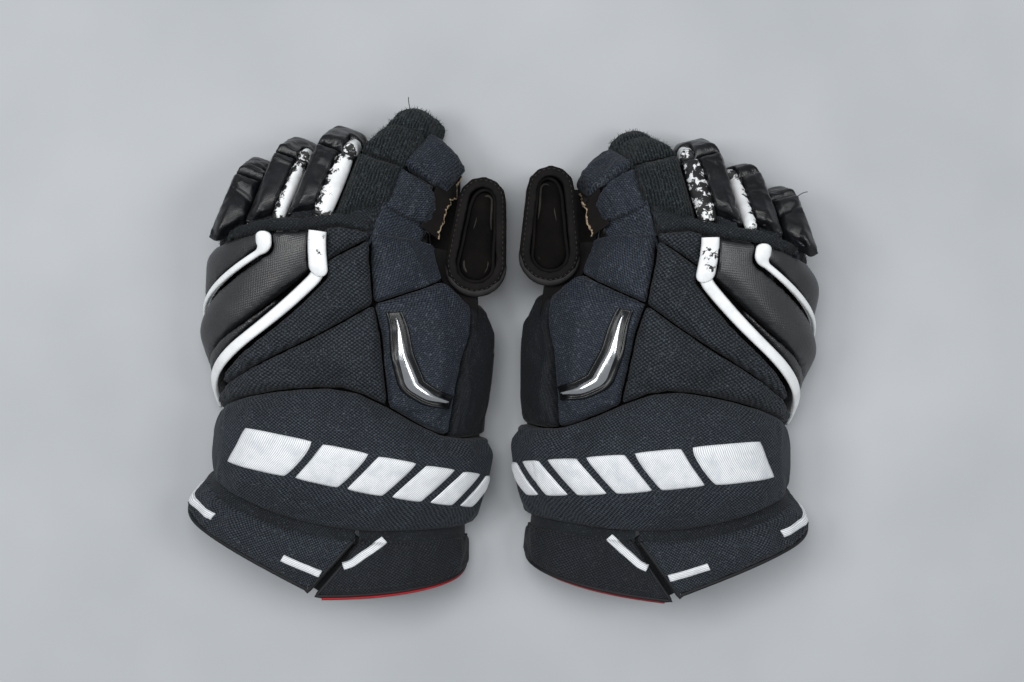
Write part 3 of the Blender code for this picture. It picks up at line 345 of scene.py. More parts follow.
# The torn leather beside the index finger: start on the base, end on the tip, length that bends
TORN_RUN = (0.007, 0.030)
TORN_BEND = 0.016
TORN_UNDER = 0.010
TORN_WIDTH = 0.0140
TORN_TOP = 0.0075
TORN_FALL = 0.002

# Its ragged edge: how close together the tears are, and how deep
TORN_BROAD = (95.0, 0.0034)
TORN_RAGGED = (260.0, 0.0016)
TORN_FINE = (900.0, 0.0006)
TORN_CURL = (180.0, 0.0012)

# Every pad of the back of the hand: finish, turn of its weave in degrees, swell in millimetres
HAND_PADS = {
    "outer_roll": ("coated_polyester_fabric", -32.0, 1.8),
    "second_roll": ("embossed_coated_fabric", -32.0, 1.8),
    "third_roll": ("embossed_coated_fabric", -32.0, 1.5),
    "fourth_roll": ("knitted_polyester_mesh", 0.0, 1.8),
    "fifth_roll": ("knitted_polyester_mesh", 0.0, 1.8),
    "knuckle_panel": ("knitted_polyester_mesh", 0.0, 1.2),
    "knuckle_welt": ("rubbed_knitted_mesh", 0.0, 1.0),
    "index_knuckle_pad": ("woven_nylon_twill", 8.0, 1.2),
    "thumb_side_pad": ("woven_nylon_twill", 20.0, 0.6),
    "side_gusset": ("dark_woven_twill", 0.0, 1.2),
    "wrist_roll": ("fine_knitted_mesh", 0.0, 2.5),
}
SMALL_PADS = ("knuckle_welt", "knuckle_panel", "third_roll")
SMOOTH_PADS = {"outer_roll": 0.25, "second_roll": 0.25, "third_roll": 0.35}
CUFF_PADS = {"back_cuff": ("fine_knitted_mesh", 20.0, 1.0), "thumb_cuff": ("dark_knitted_mesh", -10.0, 1.0)}

# A smoothing step and the one after it, which gives back what the first one shrinks
SMOOTHING = (0.5, -0.52)

# The cloth simulation that puffs the pads up
PUFF_FRAMES = 16
PUFF_SEWN_FACING = 0.1
PUFF_SETTINGS = {
    "quality": 4,
    "mass": 0.15,
    "tension_stiffness": 12.0,
    "compression_stiffness": 12.0,
    "shear_stiffness": 5.0,
    "bending_stiffness": 0.6,
    "shrink_min": -0.03,
    "use_pressure": True,
    "uniform_pressure_force": 4.0,
}

# Creases: half width and depth, size of the stretches they break into, and a finer unevenness
CREASE_HALF_WIDTH = 0.16
CREASE_DEPTH = 2.2
CREASE_BREAKS = 0.45
UNEVEN_SCALE = 1.9
UNEVEN_DEPTH = 0.35

# Lamps: place, size, power
LAMPS = {
    "overhead": ((-0.15, 0.35, 1.45), 0.75, 10.0),
    "left": ((-0.85, 0.15, 1.20), 0.5, 6.5),
    "right": ((0.85, 0.05, 1.20), 0.5, 5.5),
}
SKY_COLOUR = (0.93, 0.96, 1.0, 1.0)
SKY_STRENGTH = 0.32
FLOOR_HALF = 3.0

FINISHES = {}
SOFT = []
COVERS = {}


def linear(code):
    """An sRGB hex colour as linear values."""
    values = [int(code[start:start + 2], 16) / 255 for start in (1, 3, 5)]
    return [value / 12.92 if value <= 0.04045 else ((value + 0.055) / 1.055) ** 2.4 for value in values]


def colour(code, name, what):
    return bpy.props.FloatVectorProperty(name=name, description=what, subtype="COLOR", size=3,
                                         min=0.0, max=1.0, default=linear(code))


def length(value, name, what):
    return bpy.props.FloatProperty(name=name, description=what, subtype="DISTANCE", unit="LENGTH",
                                   precision=5, min=0.0, default=value)


class GloveSizes(bpy.types.PropertyGroup):
    pad_voxel: length(0.0021, "Pad Cell", "Cell of the remesh that a foam pad is puffed up from")
    small_voxel: length(0.0014, "Small Pad Cell", "Cell of the remesh of a narrow pad")
    finger_voxel: length(0.0016, "Finger Cell", "Cell of the remesh of a finger's foam pad")
    leather_voxel: length(0.0012, "Leather Cell", "Cell of the remesh of thin leather pieces")
    side_limit: length(0.0003, "Side Limit", "How far a puffed pad may move sideways towards its neighbour")
    wrinkle_depth: length(0.0005, "Wrinkle Depth", "Depth of the creases in the pads' covers")
    wrinkle_size: length(0.022, "Wrinkle Size", "Distance between creases in the pads' covers")
    coarse_pitch: length(0.0023, "Coarse Mesh", "Cell of the open mesh on the back of the hand")
    fine_pitch: length(0.0019, "Fine Mesh", "Cell of the mesh on the wrist roll and the cuffs")
    twill_pitch: length(0.0013, "Twill", "Rib spacing of the twill")
    emboss_pitch: length(0.0015, "Emboss", "Spacing of the dots pressed into the coated fabric")
    stripe_one_width: length(0.0045, "Narrow Stripe", "Width of the narrow white stripe")
    stripe_two_width: length(0.0070, "Wide Stripe", "Width of the wide white stripe")
    stripe_lift: length(0.0120, "Stripe Height", "Height of the stripes' crown over the hand arch")


class GloveColours(bpy.types.PropertyGroup):
    vinyl: colour("#0d0e11", "Coated Fabric", "Black coated fabric of the outer rolls and fingers")
    thread: colour("#343b43", "Mesh Thread", "Lit threads of the black mesh")
    hole: colour("#0c0e11", "Mesh Hole", "Gaps of the black mesh")
    twill: colour("#303742", "Twill Rib", "Ribs of the charcoal twill")
    twill_dark: colour("#0f1217", "Twill Groove", "Grooves of the charcoal twill")
    fuzz: colour("#3d4847", "Fuzz", "Worn thread ends of the index finger's mesh")
    white: colour("#f0f2f3", "White", "White coated fabric of the stripes and finger rolls")
    scuff: colour("#1d1d1e", "Scuff", "Backing that shows where the white coating is worn off")
    leather: colour("#171514", "Leather", "Dark leather of palm and thumb")
    suede: colour("#0b0a0a", "Suede", "Dark lining")
    board: colour("#45464a", "Board", "Plastic of the cuff boards")
    chrome: colour("#cfd2d5", "Bright Trim", "Bright plated trim")
    satin: colour("#f3f5f7", "Satin Thread", "White thread of the sewn blocks and lines")
    red: colour("#b3121c", "Piping", "Red piping on the cuff")
    torn: colour("#cbb596", "Torn Edge", "Raw edge of torn leather")
    floor: colour("#a3a7ab", "Floor", "Pale floor")


def smooth_step(share):
    share = np.clip(share, 0.0, 1.0)
    return share * share * (3.0 - 2.0 * share)


def at_station(along, values):
    """A size of the hand arch at distances along the glove."""
    first = np.clip(np.searchsorted(STATIONS, along, side="right") - 1, 0, len(STATIONS) - 2)
    share = smooth_step((along - STATIONS[first]) / (STATIONS[first + 1] - STATIONS[first]))
    return values[first] * (1.0 - share) + values[first + 1] * share


def wrap(across, along, lift):
    """A point of the left glove's arch, lifted along the normal of its section."""
    outer = -at_station(along, OUTER_REACH)
    thumb = at_station(along, THUMB_REACH)
    turn = np.linspace(math.pi, 0.0, ARCH_SAMPLES)
    power = 2.0 / ARCH_SQUARENESS
    x = (outer + thumb) / 2 + (thumb - outer) / 2 * np.sign(np.cos(turn)) * np.abs(np.cos(turn)) ** power
    z = HEM_HEIGHT + (at_station(along, CROWN) - HEM_HEIGHT) * np.abs(np.sin(turn)) ** power
    run = np.concatenate(([0.0], np.cumsum(np.hypot(np.diff(x), np.diff(z)))))
    share = 2.0 * run / run[-1] - 1.0
    near = (max(across - 0.01, -1.0), min(across + 0.01, 1.0))
    step_x = np.interp(near[1], share, x) - np.interp(near[0], share, x)
    step_z = np.interp(near[1], share, z) - np.interp(near[0], share, z)
    size = math.hypot(step_x, step_z)
    return Vector((np.interp(across, share, x) - lift * step_z / size, along,
                   np.interp(across, share, z) + lift * step_x / size))


def in_frame(points, place):
    """Points of the shared frame in a frame of their own."""
    inverse = np.array(place.inverted())
    return points @ inverse[:3, :3].T + inverse[:3, 3]


def out_of_frame(points, place):
    """Points of a frame of their own in the shared frame."""
    matrix = np.array(place)
    return points @ matrix[:3, :3].T + matrix[:3, 3]


class Hand:
    """One glove's place. Everything is drawn as for the left glove, and mirrored for the right one."""

    def __init__(self, name, mirror, place, yaw):
        self.name = name
        self.mirror = mirror
        turn = Matrix.Rotation(math.radians(yaw), 4, "Z")
        self.place = Matrix.Translation((*place, 0.0)) @ turn @ Matrix.Diagonal((mirror, 1.0, 1.0, 1.0))

    def lay(self, across, along, lift):
        """A point on the arch in the shared frame."""
        return self.place @ wrap(across, along, lift)

    def arch(self, along):
        """Half width, middle and rise of the hand arch at distances along the glove."""
        outer = at_station(along, OUTER_REACH)
        thumb = at_station(along, THUMB_REACH)
        return (outer + thumb) / 2, (thumb - outer) / 2, at_station(along, CROWN) - HEM_HEIGHT

    def outward(self, points):
        """Unit normals of the hand arch near points of the shared frame."""
        local = in_frame(points, self.place)
        half, middle, rise = self.arch(local[:, 1])
        x = (local[:, 0] - middle) / half
        z = np.maximum(local[:, 2] - HEM_HEIGHT, 0.0) / rise
        power = ARCH_SQUARENESS - 1.0
        across = np.sign(x) * np.abs(x) ** power / half
        normal = np.stack((across, np.zeros_like(x), z ** power / rise), axis=1)
        normal /= np.linalg.norm(normal, axis=1, keepdims=True) + 1e-12
        return normal @ np.array(self.place)[:3, :3].T

    def lower(self, points, share):
        """Points brought nearer to the hand arch, to a share of their height over it."""
        local = in_frame(points, self.place)
        half, middle, rise = self.arch(local[:, 1])
        x = local[:, 0] - middle
        z = local[:, 2] - HEM_HEIGHT
        level = (np.abs(x) / half) ** ARCH_SQUARENESS + (np.maximum(z, 0.0) / rise) ** ARCH_SQUARENESS
        level = np.maximum(level ** (1.0 / ARCH_SQUARENESS), 1.0)
        keep = (1.0 + (level - 1.0) * share) / level
        local[:, 0] = middle + x * keep
        local[:, 2] = HEM_HEIGHT + z * keep
        return out_of_frame(local, self.place)

    def weave(self, points, turn):
        """Flat cloth coordinates in metres: round the arch and along the glove, turned by an angle."""
        local = in_frame(points, self.place)
        middle = self.arch(local[:, 1])[1]
        height = np.maximum(local[:, 2], 0.0) + WEAVE_FOOT
        round_arch = WEAVE_RADIUS * np.arctan2(local[:, 0] - middle, height)
        angle = math.radians(turn)
        return np.stack((round_arch * math.cos(angle) - local[:, 1] * math.sin(angle),
                         round_arch * math.sin(angle) + local[:, 1] * math.cos(angle),
                         np.zeros(len(points))), axis=1)


HANDS = (Hand("left", 1.0, LEFT_PLACE, 0.0), Hand("right", -1.0, RIGHT_PLACE, RIGHT_YAW))


def finger_frame(hand, finger, segment):
    """A finger segment's frame: X to the thumb, Y along the segment, Z up through its pad."""
    knuckle = JOINTS[f"{hand.name}_{finger}_knuckle"]
    middle = JOINTS[f"{hand.name}_{finger}_midjoint"]
    start = Vector(knuckle["pos_m"])
    end = Vector(middle["pos_m"])
    across = Vector(knuckle["axis"]).normalized() * -hand.mirror
    run = (end - start).normalized()
    if segment == "tip":
        ahead = Vector((run.x, run.y, 0.0)).normalized()
        slope = math.radians(TIP_SLOPES[hand.name][finger])
        run = ahead * math.cos(slope) - Vector((0.0, 0.0, math.sin(slope)))
        start = end
    up = across.cross(run) * hand.mirror
    matrix = Matrix.Identity(4)
    for column, vector in enumerate((across, run, up, start)):
        matrix.col[column].xyz = vector
    return matrix


def link(name, shape):
    """A finished bmesh as an object of the scene."""
    mesh = bpy.data.meshes.new(name)
    shape.to_mesh(mesh)
    shape.free()
    mesh.shade_smooth()
    thing = bpy.data.objects.new(name, mesh)
    bpy.context.scene.collection.objects.link(thing)
    return thing


def settle(thing):
    """Apply an object's modifiers to its mesh."""
    graph = bpy.context.evaluated_depsgraph_get()
    mesh = bpy.data.meshes.new_from_object(thing.evaluated_get(graph))
    old = thing.data
    thing.modifiers.clear()
    thing.data = mesh
    bpy.data.meshes.remove(old)
    mesh.shade_smooth()


def corners(mesh):
    values = np.empty(len(mesh.vertices) * 3, np.float32)
    mesh.vertices.foreach_get("co", values)
    return values.reshape(-1, 3).astype(float)


def normals(mesh):
    values = np.empty(len(mesh.vertices) * 3, np.float32)
    mesh.vertices.foreach_get("normal", values)
    return values.reshape(-1, 3).astype(float)


def move_corners(mesh, points):
    mesh.vertices.foreach_set("co", points.astype(np.float32).ravel())
    mesh.update()


def keep_vector(mesh, name, values):
    """Store a vector for each corner, which a finish reads as its pattern's coordinates."""
    attribute = mesh.attributes.get(name) or mesh.attributes.new(name, "FLOAT_VECTOR", "POINT")
    attribute.data.foreach_set("vector", values.astype(np.float32).ravel())


def keep_number(mesh, name, values):
    """Store a number for each corner, which a finish reads as wear or nearness to an edge."""
    attribute = mesh.attributes.get(name) or mesh.attributes.new(name, "FLOAT", "POINT")
    attribute.data.foreach_set("value", np.asarray(values, np.float32))


def solid_copy(node):
    """A merged copy of a solid part as a bmesh."""
    shape = bmesh.new()
    shape.from_mesh(frame["nodes"][node].data)
    bmesh.ops.remove_doubles(shape, verts=shape.verts, dist=1e-5)
    return shape


def sliced(shape, place, normal):
    """What lies on the normal's side of a plane, closed again."""
    everything = shape.verts[:] + shape.edges[:] + shape.faces[:]
    bmesh.ops.bisect_plane(shape, geom=everything, dist=1e-6, plane_co=place, plane_no=normal,
                           clear_inner=True)
    rim = [edge for edge in shape.edges if edge.is_boundary]
    bmesh.ops.holes_fill(shape, edges=rim, sides=0)
    bmesh.ops.triangulate(shape, faces=shape.faces)
    bmesh.ops.recalc_face_normals(shape, faces=shape.faces)
    return shape


def remeshed(name, shape, voxel, rounds):
    """An even, rounded skin of a closed shape."""
    thing = link(name, shape)
    remesh = thing.modifiers.new("skin", "REMESH")
    remesh.mode = "VOXEL"
    remesh.voxel_size = voxel
    settle(thing)
    shape = bmesh.new()
    shape.from_mesh(thing.data)
    for factor in SMOOTHING * rounds:
        bmesh.ops.smooth_vert(shape, verts=shape.verts, factor=factor, use_axis_x=True, use_axis_y=True,
                              use_axis_z=True)
    shape.to_mesh(thing.data)
    shape.free()
    thing.data.shade_smooth()
    return thing


def refined(thing):
    """One level of subdivision, applied."""
    finer = thing.modifiers.new("finer", "SUBSURF")
    finer.levels = 1
    finer.render_levels = 1
    settle(thing)


def tree_of(*things):
    """A search tree over the surfaces of pieces."""
    points = []
    faces = []
    for thing in things:
        start = len(points)
        points.extend(vert.co.copy() for vert in thing.data.vertices)
        faces.extend([start + number for number in face.vertices] for face in thing.data.polygons)
    return BVHTree.FromPolygons(points, faces)


def cover_lift(hand, tree, across, along):
    """Height of a cover over the hand arch, or None beside it."""
    foot = hand.lay(across, along, 0.0)
    above = (hand.lay(across, along, 0.05) - foot).normalized()
    hit = tree.ray_cast(foot + above * 0.05, -above, 0.055)[0]
    return None if hit is None else (hit - foot).dot(above)


def on_cover(hand, tree, across, along, rise):
    """A point on a cover, lifted off it along the arch's normal."""
    lift = cover_lift(hand, tree, across, along)
    return None if lift is None else hand.lay(across, along, lift + rise)


def resampled(path, count):
    """Evenly spaced points of a seam in the flat pattern, with the direction to its right."""
    flat = np.array([(across * HALF_GIRTH, along) for across, along in path])
    run = np.concatenate(([0.0], np.cumsum(np.linalg.norm(np.diff(flat, axis=0), axis=1))))
    steps = np.linspace(0.0, run[-1], count)
    points = np.stack([np.interp(steps, run, flat[:, axis]) for axis in (0, 1)], axis=1)
    for _ in range(6):
        points[1:-1] = (points[:-2] + 2 * points[1:-1] + points[2:]) / 4
    heading = np.gradient(points, axis=0)
    heading /= np.linalg.norm(heading, axis=1, keepdims=True)
    return points, np.stack((heading[:, 1], -heading[:, 0]), axis=1)


def ribbon(name, rows, columns, place, thick, scale=(0.01, 0.01)):
    """A strip laid by a rule from its share along and its share across, then given a thickness."""
    shape = bmesh.new()
    bmesh.ops.create_grid(shape, x_segments=columns, y_segments=rows, size=1.0)
    cloth = shape.verts.layers.float_vector.new("cloth")
    for vert in shape.verts:
        along = (vert.co.y + 1.0) / 2
        across = vert.co.x
        vert[cloth] = Vector((across * scale[0], along * scale[1], 0.0))
        vert.co = place(along, across)
    bmesh.ops.recalc_face_normals(shape, faces=shape.faces)
    if sum(face.normal.z for face in shape.faces) < 0.0:
        bmesh.ops.reverse_faces(shape, faces=shape.faces)
    bmesh.ops.solidify(shape, geom=shape.faces[:], thickness=thick)
    bmesh.ops.recalc_face_normals(shape, faces=shape.faces)
    return link(name, shape)


def strip(name, path, width, where, rows, columns, thick, offset=0.0):
    """A band along a path of the flat pattern, with its width given by the share along."""
    points, right = resampled(path, rows + 1)

    def place(along, across):
        spot = min(along * rows, rows - 1e-6)
        first = int(spot)
        share = spot - first
        flat = points[first] * (1 - share) + points[first + 1] * share
        side = right[first] * (1 - share) + right[first + 1] * share
        flat = flat + side * (offset + across * width(along) / 2)
        return where(flat[0] / HALF_GIRTH, flat[1], along, across)

    size = float(np.sum(np.linalg.norm(np.diff(points, axis=0), axis=1)))
    return ribbon(name, rows, columns, place, thick, (width(0.5) / 2, size))


def tube(name, points, radius, closed=False, tapered=False):
    """A round cord along points, as a mesh, thinner towards its ends if it is tapered."""
    curve = bpy.data.curves.new(name, "CURVE")
    curve.dimensions = "3D"
    curve.bevel_depth = radius
    curve.bevel_resolution = 2
    curve.use_fill_caps = True
    spline = curve.splines.new("POLY")
    spline.points.add(len(points) - 1)
    for number, (corner, point) in enumerate(zip(spline.points, points)):
        corner.co = (*point, 1.0)
        if tapered:
            corner.radius = max(math.sin(math.pi * (number + 0.5) / len(points)), 0.0) ** 0.5
    spline.use_cyclic_u = closed
    path = bpy.data.objects.new(name, curve)
    bpy.context.scene.collection.objects.link(path)
    graph = bpy.context.evaluated_depsgraph_get()
    mesh = bpy.data.meshes.new_from_object(path.evaluated_get(graph))
    bpy.data.objects.remove(path)
    bpy.data.curves.remove(curve)
    shape = bmesh.new()
    shape.from_mesh(mesh)
    bpy.data.meshes.remove(mesh)
    bmesh.ops.remove_doubles(shape, verts=shape.verts, dist=1e-6)
    bmesh.ops.recalc_face_normals(shape, faces=shape.faces)
    return link(name, shape)


def stitches(name, points, spacing, size, radius):
    """Short sewn stitches along a line, as one mesh."""
    line = np.array([tuple(point) for point in points])
    run = np.concatenate(([0.0], np.cumsum(np.linalg.norm(np.diff(line, axis=0), axis=1))))
    shape = bmesh.new()
    for step in np.arange(spacing / 2, run[-1], spacing):
        start, end = [Vector([np.interp(step + shift, run, line[:, axis]) for axis in range(3)])
                      for shift in (-size / 2, size / 2)]
        heading = (end - start).to_track_quat("Y", "Z").to_matrix().to_4x4()
        scale = Matrix.Diagonal((radius, size / 2, radius, 1.0))
        bmesh.ops.create_uvsphere(shape, u_segments=6, v_segments=4, radius=1.0,
                                  matrix=Matrix.Translation((start + end) / 2) @ heading @ scale)
    return link(name, shape)


def fibres(name, cover, count, size, seed, facing=-1.0):
    """Loose thread ends standing up from a cover, as one mesh of thin cones."""
    rng = np.random.default_rng(seed)
    mesh = cover.data
    areas = np.array([face.area if face.normal.z > facing else 0.0 for face in mesh.polygons])
    chosen = rng.choice(len(areas), count, p=areas / areas.sum())
    shape = bmesh.new()
    for number in chosen:
        face = mesh.polygons[int(number)]
        lean = Vector(rng.normal(0.0, FIBRE_LEAN, 3))
        heading = (face.normal + lean).normalized()
        tall = size * (0.5 + rng.random())
        turn = heading.to_track_quat("Z", "Y").to_matrix().to_4x4()
        middle = face.center + heading * tall * 0.4
        bmesh.ops.create_cone(shape, cap_ends=True, segments=3, radius1=FIBRE_RADII[0],
                              radius2=FIBRE_RADII[1], depth=tall, matrix=Matrix.Translation(middle) @ turn)
    return link(name, shape)


def web(name, rays, near_tree, far_tree, reach, sink, thick, sag):
    """Fabric across a gap. Each ray starts in the open and meets a near cover ahead and a far one behind."""
    pairs = []
    for start, ahead, back in rays:
        near = near_tree.ray_cast(start, ahead, reach)[0]
        if near is None:
            continue
        far = far_tree.ray_cast(near - ahead * 0.0005, back, reach)[0]
        if far is not None:
            pairs.append((near + ahead * sink, far + back * sink))
    if len(pairs) < 2:
        raise RuntimeError(f"{name}: no gap found to bridge")

    def place(along, across):
        spot = min((across + 1.0) / 2 * (len(pairs) - 1), len(pairs) - 1 - 1e-6)
        first = int(spot)
        share = spot - first
        near = pairs[first][0].lerp(pairs[first + 1][0], share)
        far = pairs[first][1].lerp(pairs[first + 1][1], share)
        return far.lerp(near, along) - Vector((0.0, 0.0, sag * math.sin(along * math.pi)))

    thing = ribbon(name, 6, max(2 * len(pairs), 8), place, thick, (0.012, 0.012))
    near = sum((pair[0] for pair in pairs), Vector()) / len(pairs)
    far = sum((pair[1] for pair in pairs), Vector()) / len(pairs)
    return thing, far, near


class Pad:
    """A soft piece on its way to its final form."""

    def __init__(self, thing, node, body, finish, outward, lower, cloth, swell, rim, wrinkle=1.0):
        self.thing = thing
        self.node = node
        self.body = body
        self.finish = finish
        self.outward = outward
        self.lower = lower
        self.cloth = cloth
        self.swell = swell
        self.rim = rim
        self.wrinkle = wrinkle
        self.bend = None
        self.place = None
        self.rest = corners(thing.data)


def puff(pads, side_limit):
    """Inflate the pads together by cloth simulation: sewn down below, free to swell above within a limit."""
    scene = bpy.context.scene
    for pad in pads:
        facing = np.sum(normals(pad.thing.data) * pad.outward(pad.rest), axis=1)
        sewn = pad.thing.vertex_groups.new(name="sewn")
        sewn.add([int(number) for number in np.nonzero(facing < PUFF_SEWN_FACING)[0]], 1.0, "REPLACE")
        cloth = pad.thing.modifiers.new("cloth", "CLOTH")
        for key, value in PUFF_SETTINGS.items():
            setattr(cloth.settings, key, value)
        cloth.settings.vertex_group_mass = "sewn"
        cloth.settings.effector_weights.gravity = 0.0
        cloth.collision_settings.use_collision = False
        cloth.point_cache.frame_start = 1
        cloth.point_cache.frame_end = PUFF_FRAMES
    for number in range(1, PUFF_FRAMES + 1):
        scene.frame_set(number)
    for pad in pads:
        settle(pad.thing)
    scene.frame_set(1)
    for pad in pads:
        moved = corners(pad.thing.data) - pad.rest
        outward = pad.outward(pad.rest)
        rise = np.sum(moved * outward, axis=1, keepdims=True)
        sideways = moved - outward * rise
        reach = np.linalg.norm(sideways, axis=1, keepdims=True)
        sideways *= np.minimum(1.0, side_limit / np.maximum(reach, 1e-9))
        rise = pad.swell * np.tanh(rise / pad.swell)
        move_corners(pad.thing.data, pad.rest + outward * rise + sideways)
        pad.thing.vertex_groups.clear()


def round_edges(pad):
    """Curve a pad's top down to its edges, and keep how near each corner is to the edge."""
    mesh = pad.thing.data
    points = corners(mesh)
    facing = np.sum(normals(mesh) * pad.outward(points), axis=1)
    sides = np.nonzero(np.abs(facing) < EDGE_FACING)[0]
    tree = KDTree(len(sides))
    for number in sides:
        tree.insert(points[number], int(number))
    tree.balance()
    away = np.array([tree.find(point)[2] for point in points])
    width, loss = pad.rim
    inside = 1.0 - np.clip(away / width, 0.0, 1.0)
    drop = 1.0 - np.sqrt(1.0 - inside ** 2)
    move_corners(mesh, pad.lower(points, 1.0 - loss * drop))
    keep_number(mesh, "edge", inside * (facing > -EDGE_FACING))


def even_out(pad):
    """Draw the lumps out of a roll's top: its height becomes smooth over the place on its cloth."""
    mesh = pad.thing.data
    points = corners(mesh)
    height = np.linalg.norm(points - pad.lower(points, 0.0), axis=1)
    facing = np.sum(normals(mesh) * pad.outward(points), axis=1)
    top = facing > EVEN_FACING
    cloth = pad.cloth(points)[:, :2]
    cloth = (cloth - cloth[top].mean(axis=0)) / np.abs(cloth[top] - cloth[top].mean(axis=0)).max(axis=0)
    terms = np.stack([cloth[:, 0] ** first * cloth[:, 1] ** second
                      for first in range(EVEN_ORDER) for second in range(EVEN_ORDER)], axis=1)
    weights = np.linalg.lstsq(terms[top], height[top], rcond=None)[0]
    mix = smooth_step((facing - EVEN_FACING) / (1.0 - EVEN_FACING) * 2.0)
    goal = height + (terms @ weights - height) * mix
    move_corners(mesh, pad.lower(points, np.where(top, goal / np.maximum(height, 1e-6), 1.0)))


def crease(thing, depth, size, seed):
    """Press shallow, broken creases and a slight unevenness into a cover."""
    points = corners(thing.data)
    facing = normals(thing.data)
    shift = Vector((seed * 3.1, seed * 7.7, seed * 1.3))
    drop = np.empty(len(points))
    for number, point in enumerate(points):
        place = Vector(point) / size + shift
        line = abs(noise.noise(place))
        broken = max(noise.noise(place * CREASE_BREAKS + Vector((9.0, 4.0, 2.0))), 0.0)
        uneven = noise.noise(place * UNEVEN_SCALE)
        pressed = max(0.0, 1.0 - line / CREASE_HALF_WIDTH) ** 2 * broken * CREASE_DEPTH
        drop[number] = -pressed + UNEVEN_DEPTH * uneven
    move_corners(thing.data, points + facing * (drop * depth)[:, None])


def dress(thing, body, finish, node=None, bend=None):
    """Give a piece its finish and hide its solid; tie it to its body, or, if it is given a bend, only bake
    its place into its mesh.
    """
    thing.data.materials.clear()
    thing.data.materials.append(FINISHES[finish])
    if bend:
        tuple(bend[1])
        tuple(bend[2])
        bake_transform(thing)
    else:
        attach(thing, body)
    if node:
        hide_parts(node)
    return thing


def put(tree, kind, sockets=None, **settings):
    """Add a shader node. A socket takes a number, a colour, or the node or socket that feeds it."""
    thing = tree.nodes.new(f"ShaderNode{kind}")
    for name, value in settings.items():
        setattr(thing, name, value)
    for key, value in (sockets or {}).items():
        if isinstance(value, bpy.types.Node):
            value = value.outputs[0]
        if isinstance(value, bpy.types.NodeSocket):
            tree.links.new(value, thing.inputs[key])
        else:
            thing.inputs[key].default_value = value
    return thing


def start_finish(name, sockets):
    """A new finish with a Principled shader whose even values are set on its own sockets."""
    material = bpy.data.materials.new(name)
    material.use_nodes = True
    tree = material.node_tree
    shader = tree.nodes["Principled BSDF"]
    for key, value in sockets.items():
        shader.inputs[key].default_value = value
    FINISHES[name] = material
    return tree, shader


def rgba(values):
    return (*values, 1.0)


def pattern(tree):
    """The flat cloth coordinates kept on a piece, and its place in the object."""
    cloth = put(tree, "Attribute", attribute_name="cloth").outputs["Vector"]
    return cloth, put(tree, "TexCoord").outputs["Object"]


def surface(tree, shader, shade, height, depth, strength):
    """Give a shader its shade, and a relief of some depth from a height."""
    bump = put(tree, "Bump", {"Height": height, "Distance": depth, "Strength": strength})
    tree.links.new(shade.outputs[0], shader.inputs["Base Color"])
    tree.links.new(bump.outputs[0], shader.inputs["Normal"])


def checker_waves(tree, source, pitch_across, pitch_along):
    """Staggered dots, from -1 to 1, on flat cloth coordinates in metres."""
    parts = put(tree, "SeparateXYZ", {0: source})
    waves = []
    for axis, pitch in ((0, pitch_across), (1, pitch_along)):
        turn = {0: parts.outputs[axis], 1: 2 * math.pi / pitch}
        turn = put(tree, "Math", turn, operation="MULTIPLY")
        waves.append(put(tree, "Math", {0: turn}, operation="COSINE"))
    return put(tree, "Math", {0: waves[0], 1: waves[1]}, operation="MULTIPLY")


def with_fluff_and_glints(tree, place, shade, amount):
    """A fabric's shade with pale flecks strewn over it, each about a millimetre across: lint, and painted
    glints of lit thread ends.
    """
    # Pale flecks: lint, and painted glints of lit thread ends
    fluff_and_glints = put(tree, "TexNoise", {"Vector": place, "Scale": 900.0, "Detail": 2.0, "Roughness": 0.6})
    fluff_and_glints = put(tree, "MapRange", {0: fluff_and_glints, 1: 0.56, 2: 0.76, 3: 0.0, 4: amount})
    return put(tree, "MixRGB", {0: fluff_and_glints, 1: shade, 2: rgba(linear("#7d858e"))})


def mesh_finish(name, colours, thread, pitch, tilt, wear, fluff_and_glints):
    """Knitted polyester mesh: raised thread crossings with dark gaps between, matt, dusty in places."""
    tree, shader = start_finish(name, {"Roughness": 0.75, "Sheen Weight": 0.05,
                                       "Sheen Roughness": 0.5, "Specular IOR Level": 0.2})
    cloth, place = pattern(tree)
    wobble = put(tree, "TexNoise", {"Vector": place, "Scale": 120.0, "Detail": 1.0})
    wobble = {0: wobble.outputs["Color"], 1: (-0.5, -0.5, -0.5)}
    wobble = put(tree, "VectorMath", wobble, operation="ADD")
    wobble = put(tree, "VectorMath", {0: wobble, "Scale": pitch * 0.6}, operation="SCALE")
    cloth = put(tree, "VectorMath", {0: cloth, 1: wobble}, operation="ADD")
    dots = checker_waves(tree, cloth, pitch * tilt, pitch)
    raised = put(tree, "MapRange", {0: dots, 1: -0.30, 2: 0.60}, interpolation_type="SMOOTHSTEP")
    dust = put(tree, "TexNoise", {"Vector": place, "Scale": 38.0, "Detail": 4.0, "Roughness": 0.65})
    dust = put(tree, "MapRange", {0: dust, 1: 0.42, 2: 0.75, 3: 1.0 - wear, 4: 1.0 + wear})
    thread = put(tree, "VectorMath", {0: tuple(thread), "Scale": dust}, operation="SCALE")
    shade = put(tree, "MixRGB", {0: raised, 1: rgba(colours.hole), 2: thread})
    shade = with_fluff_and_glints(tree, place, shade, fluff_and_glints)
    surface(tree, shader, shade, raised, pitch * 0.2, 0.8)


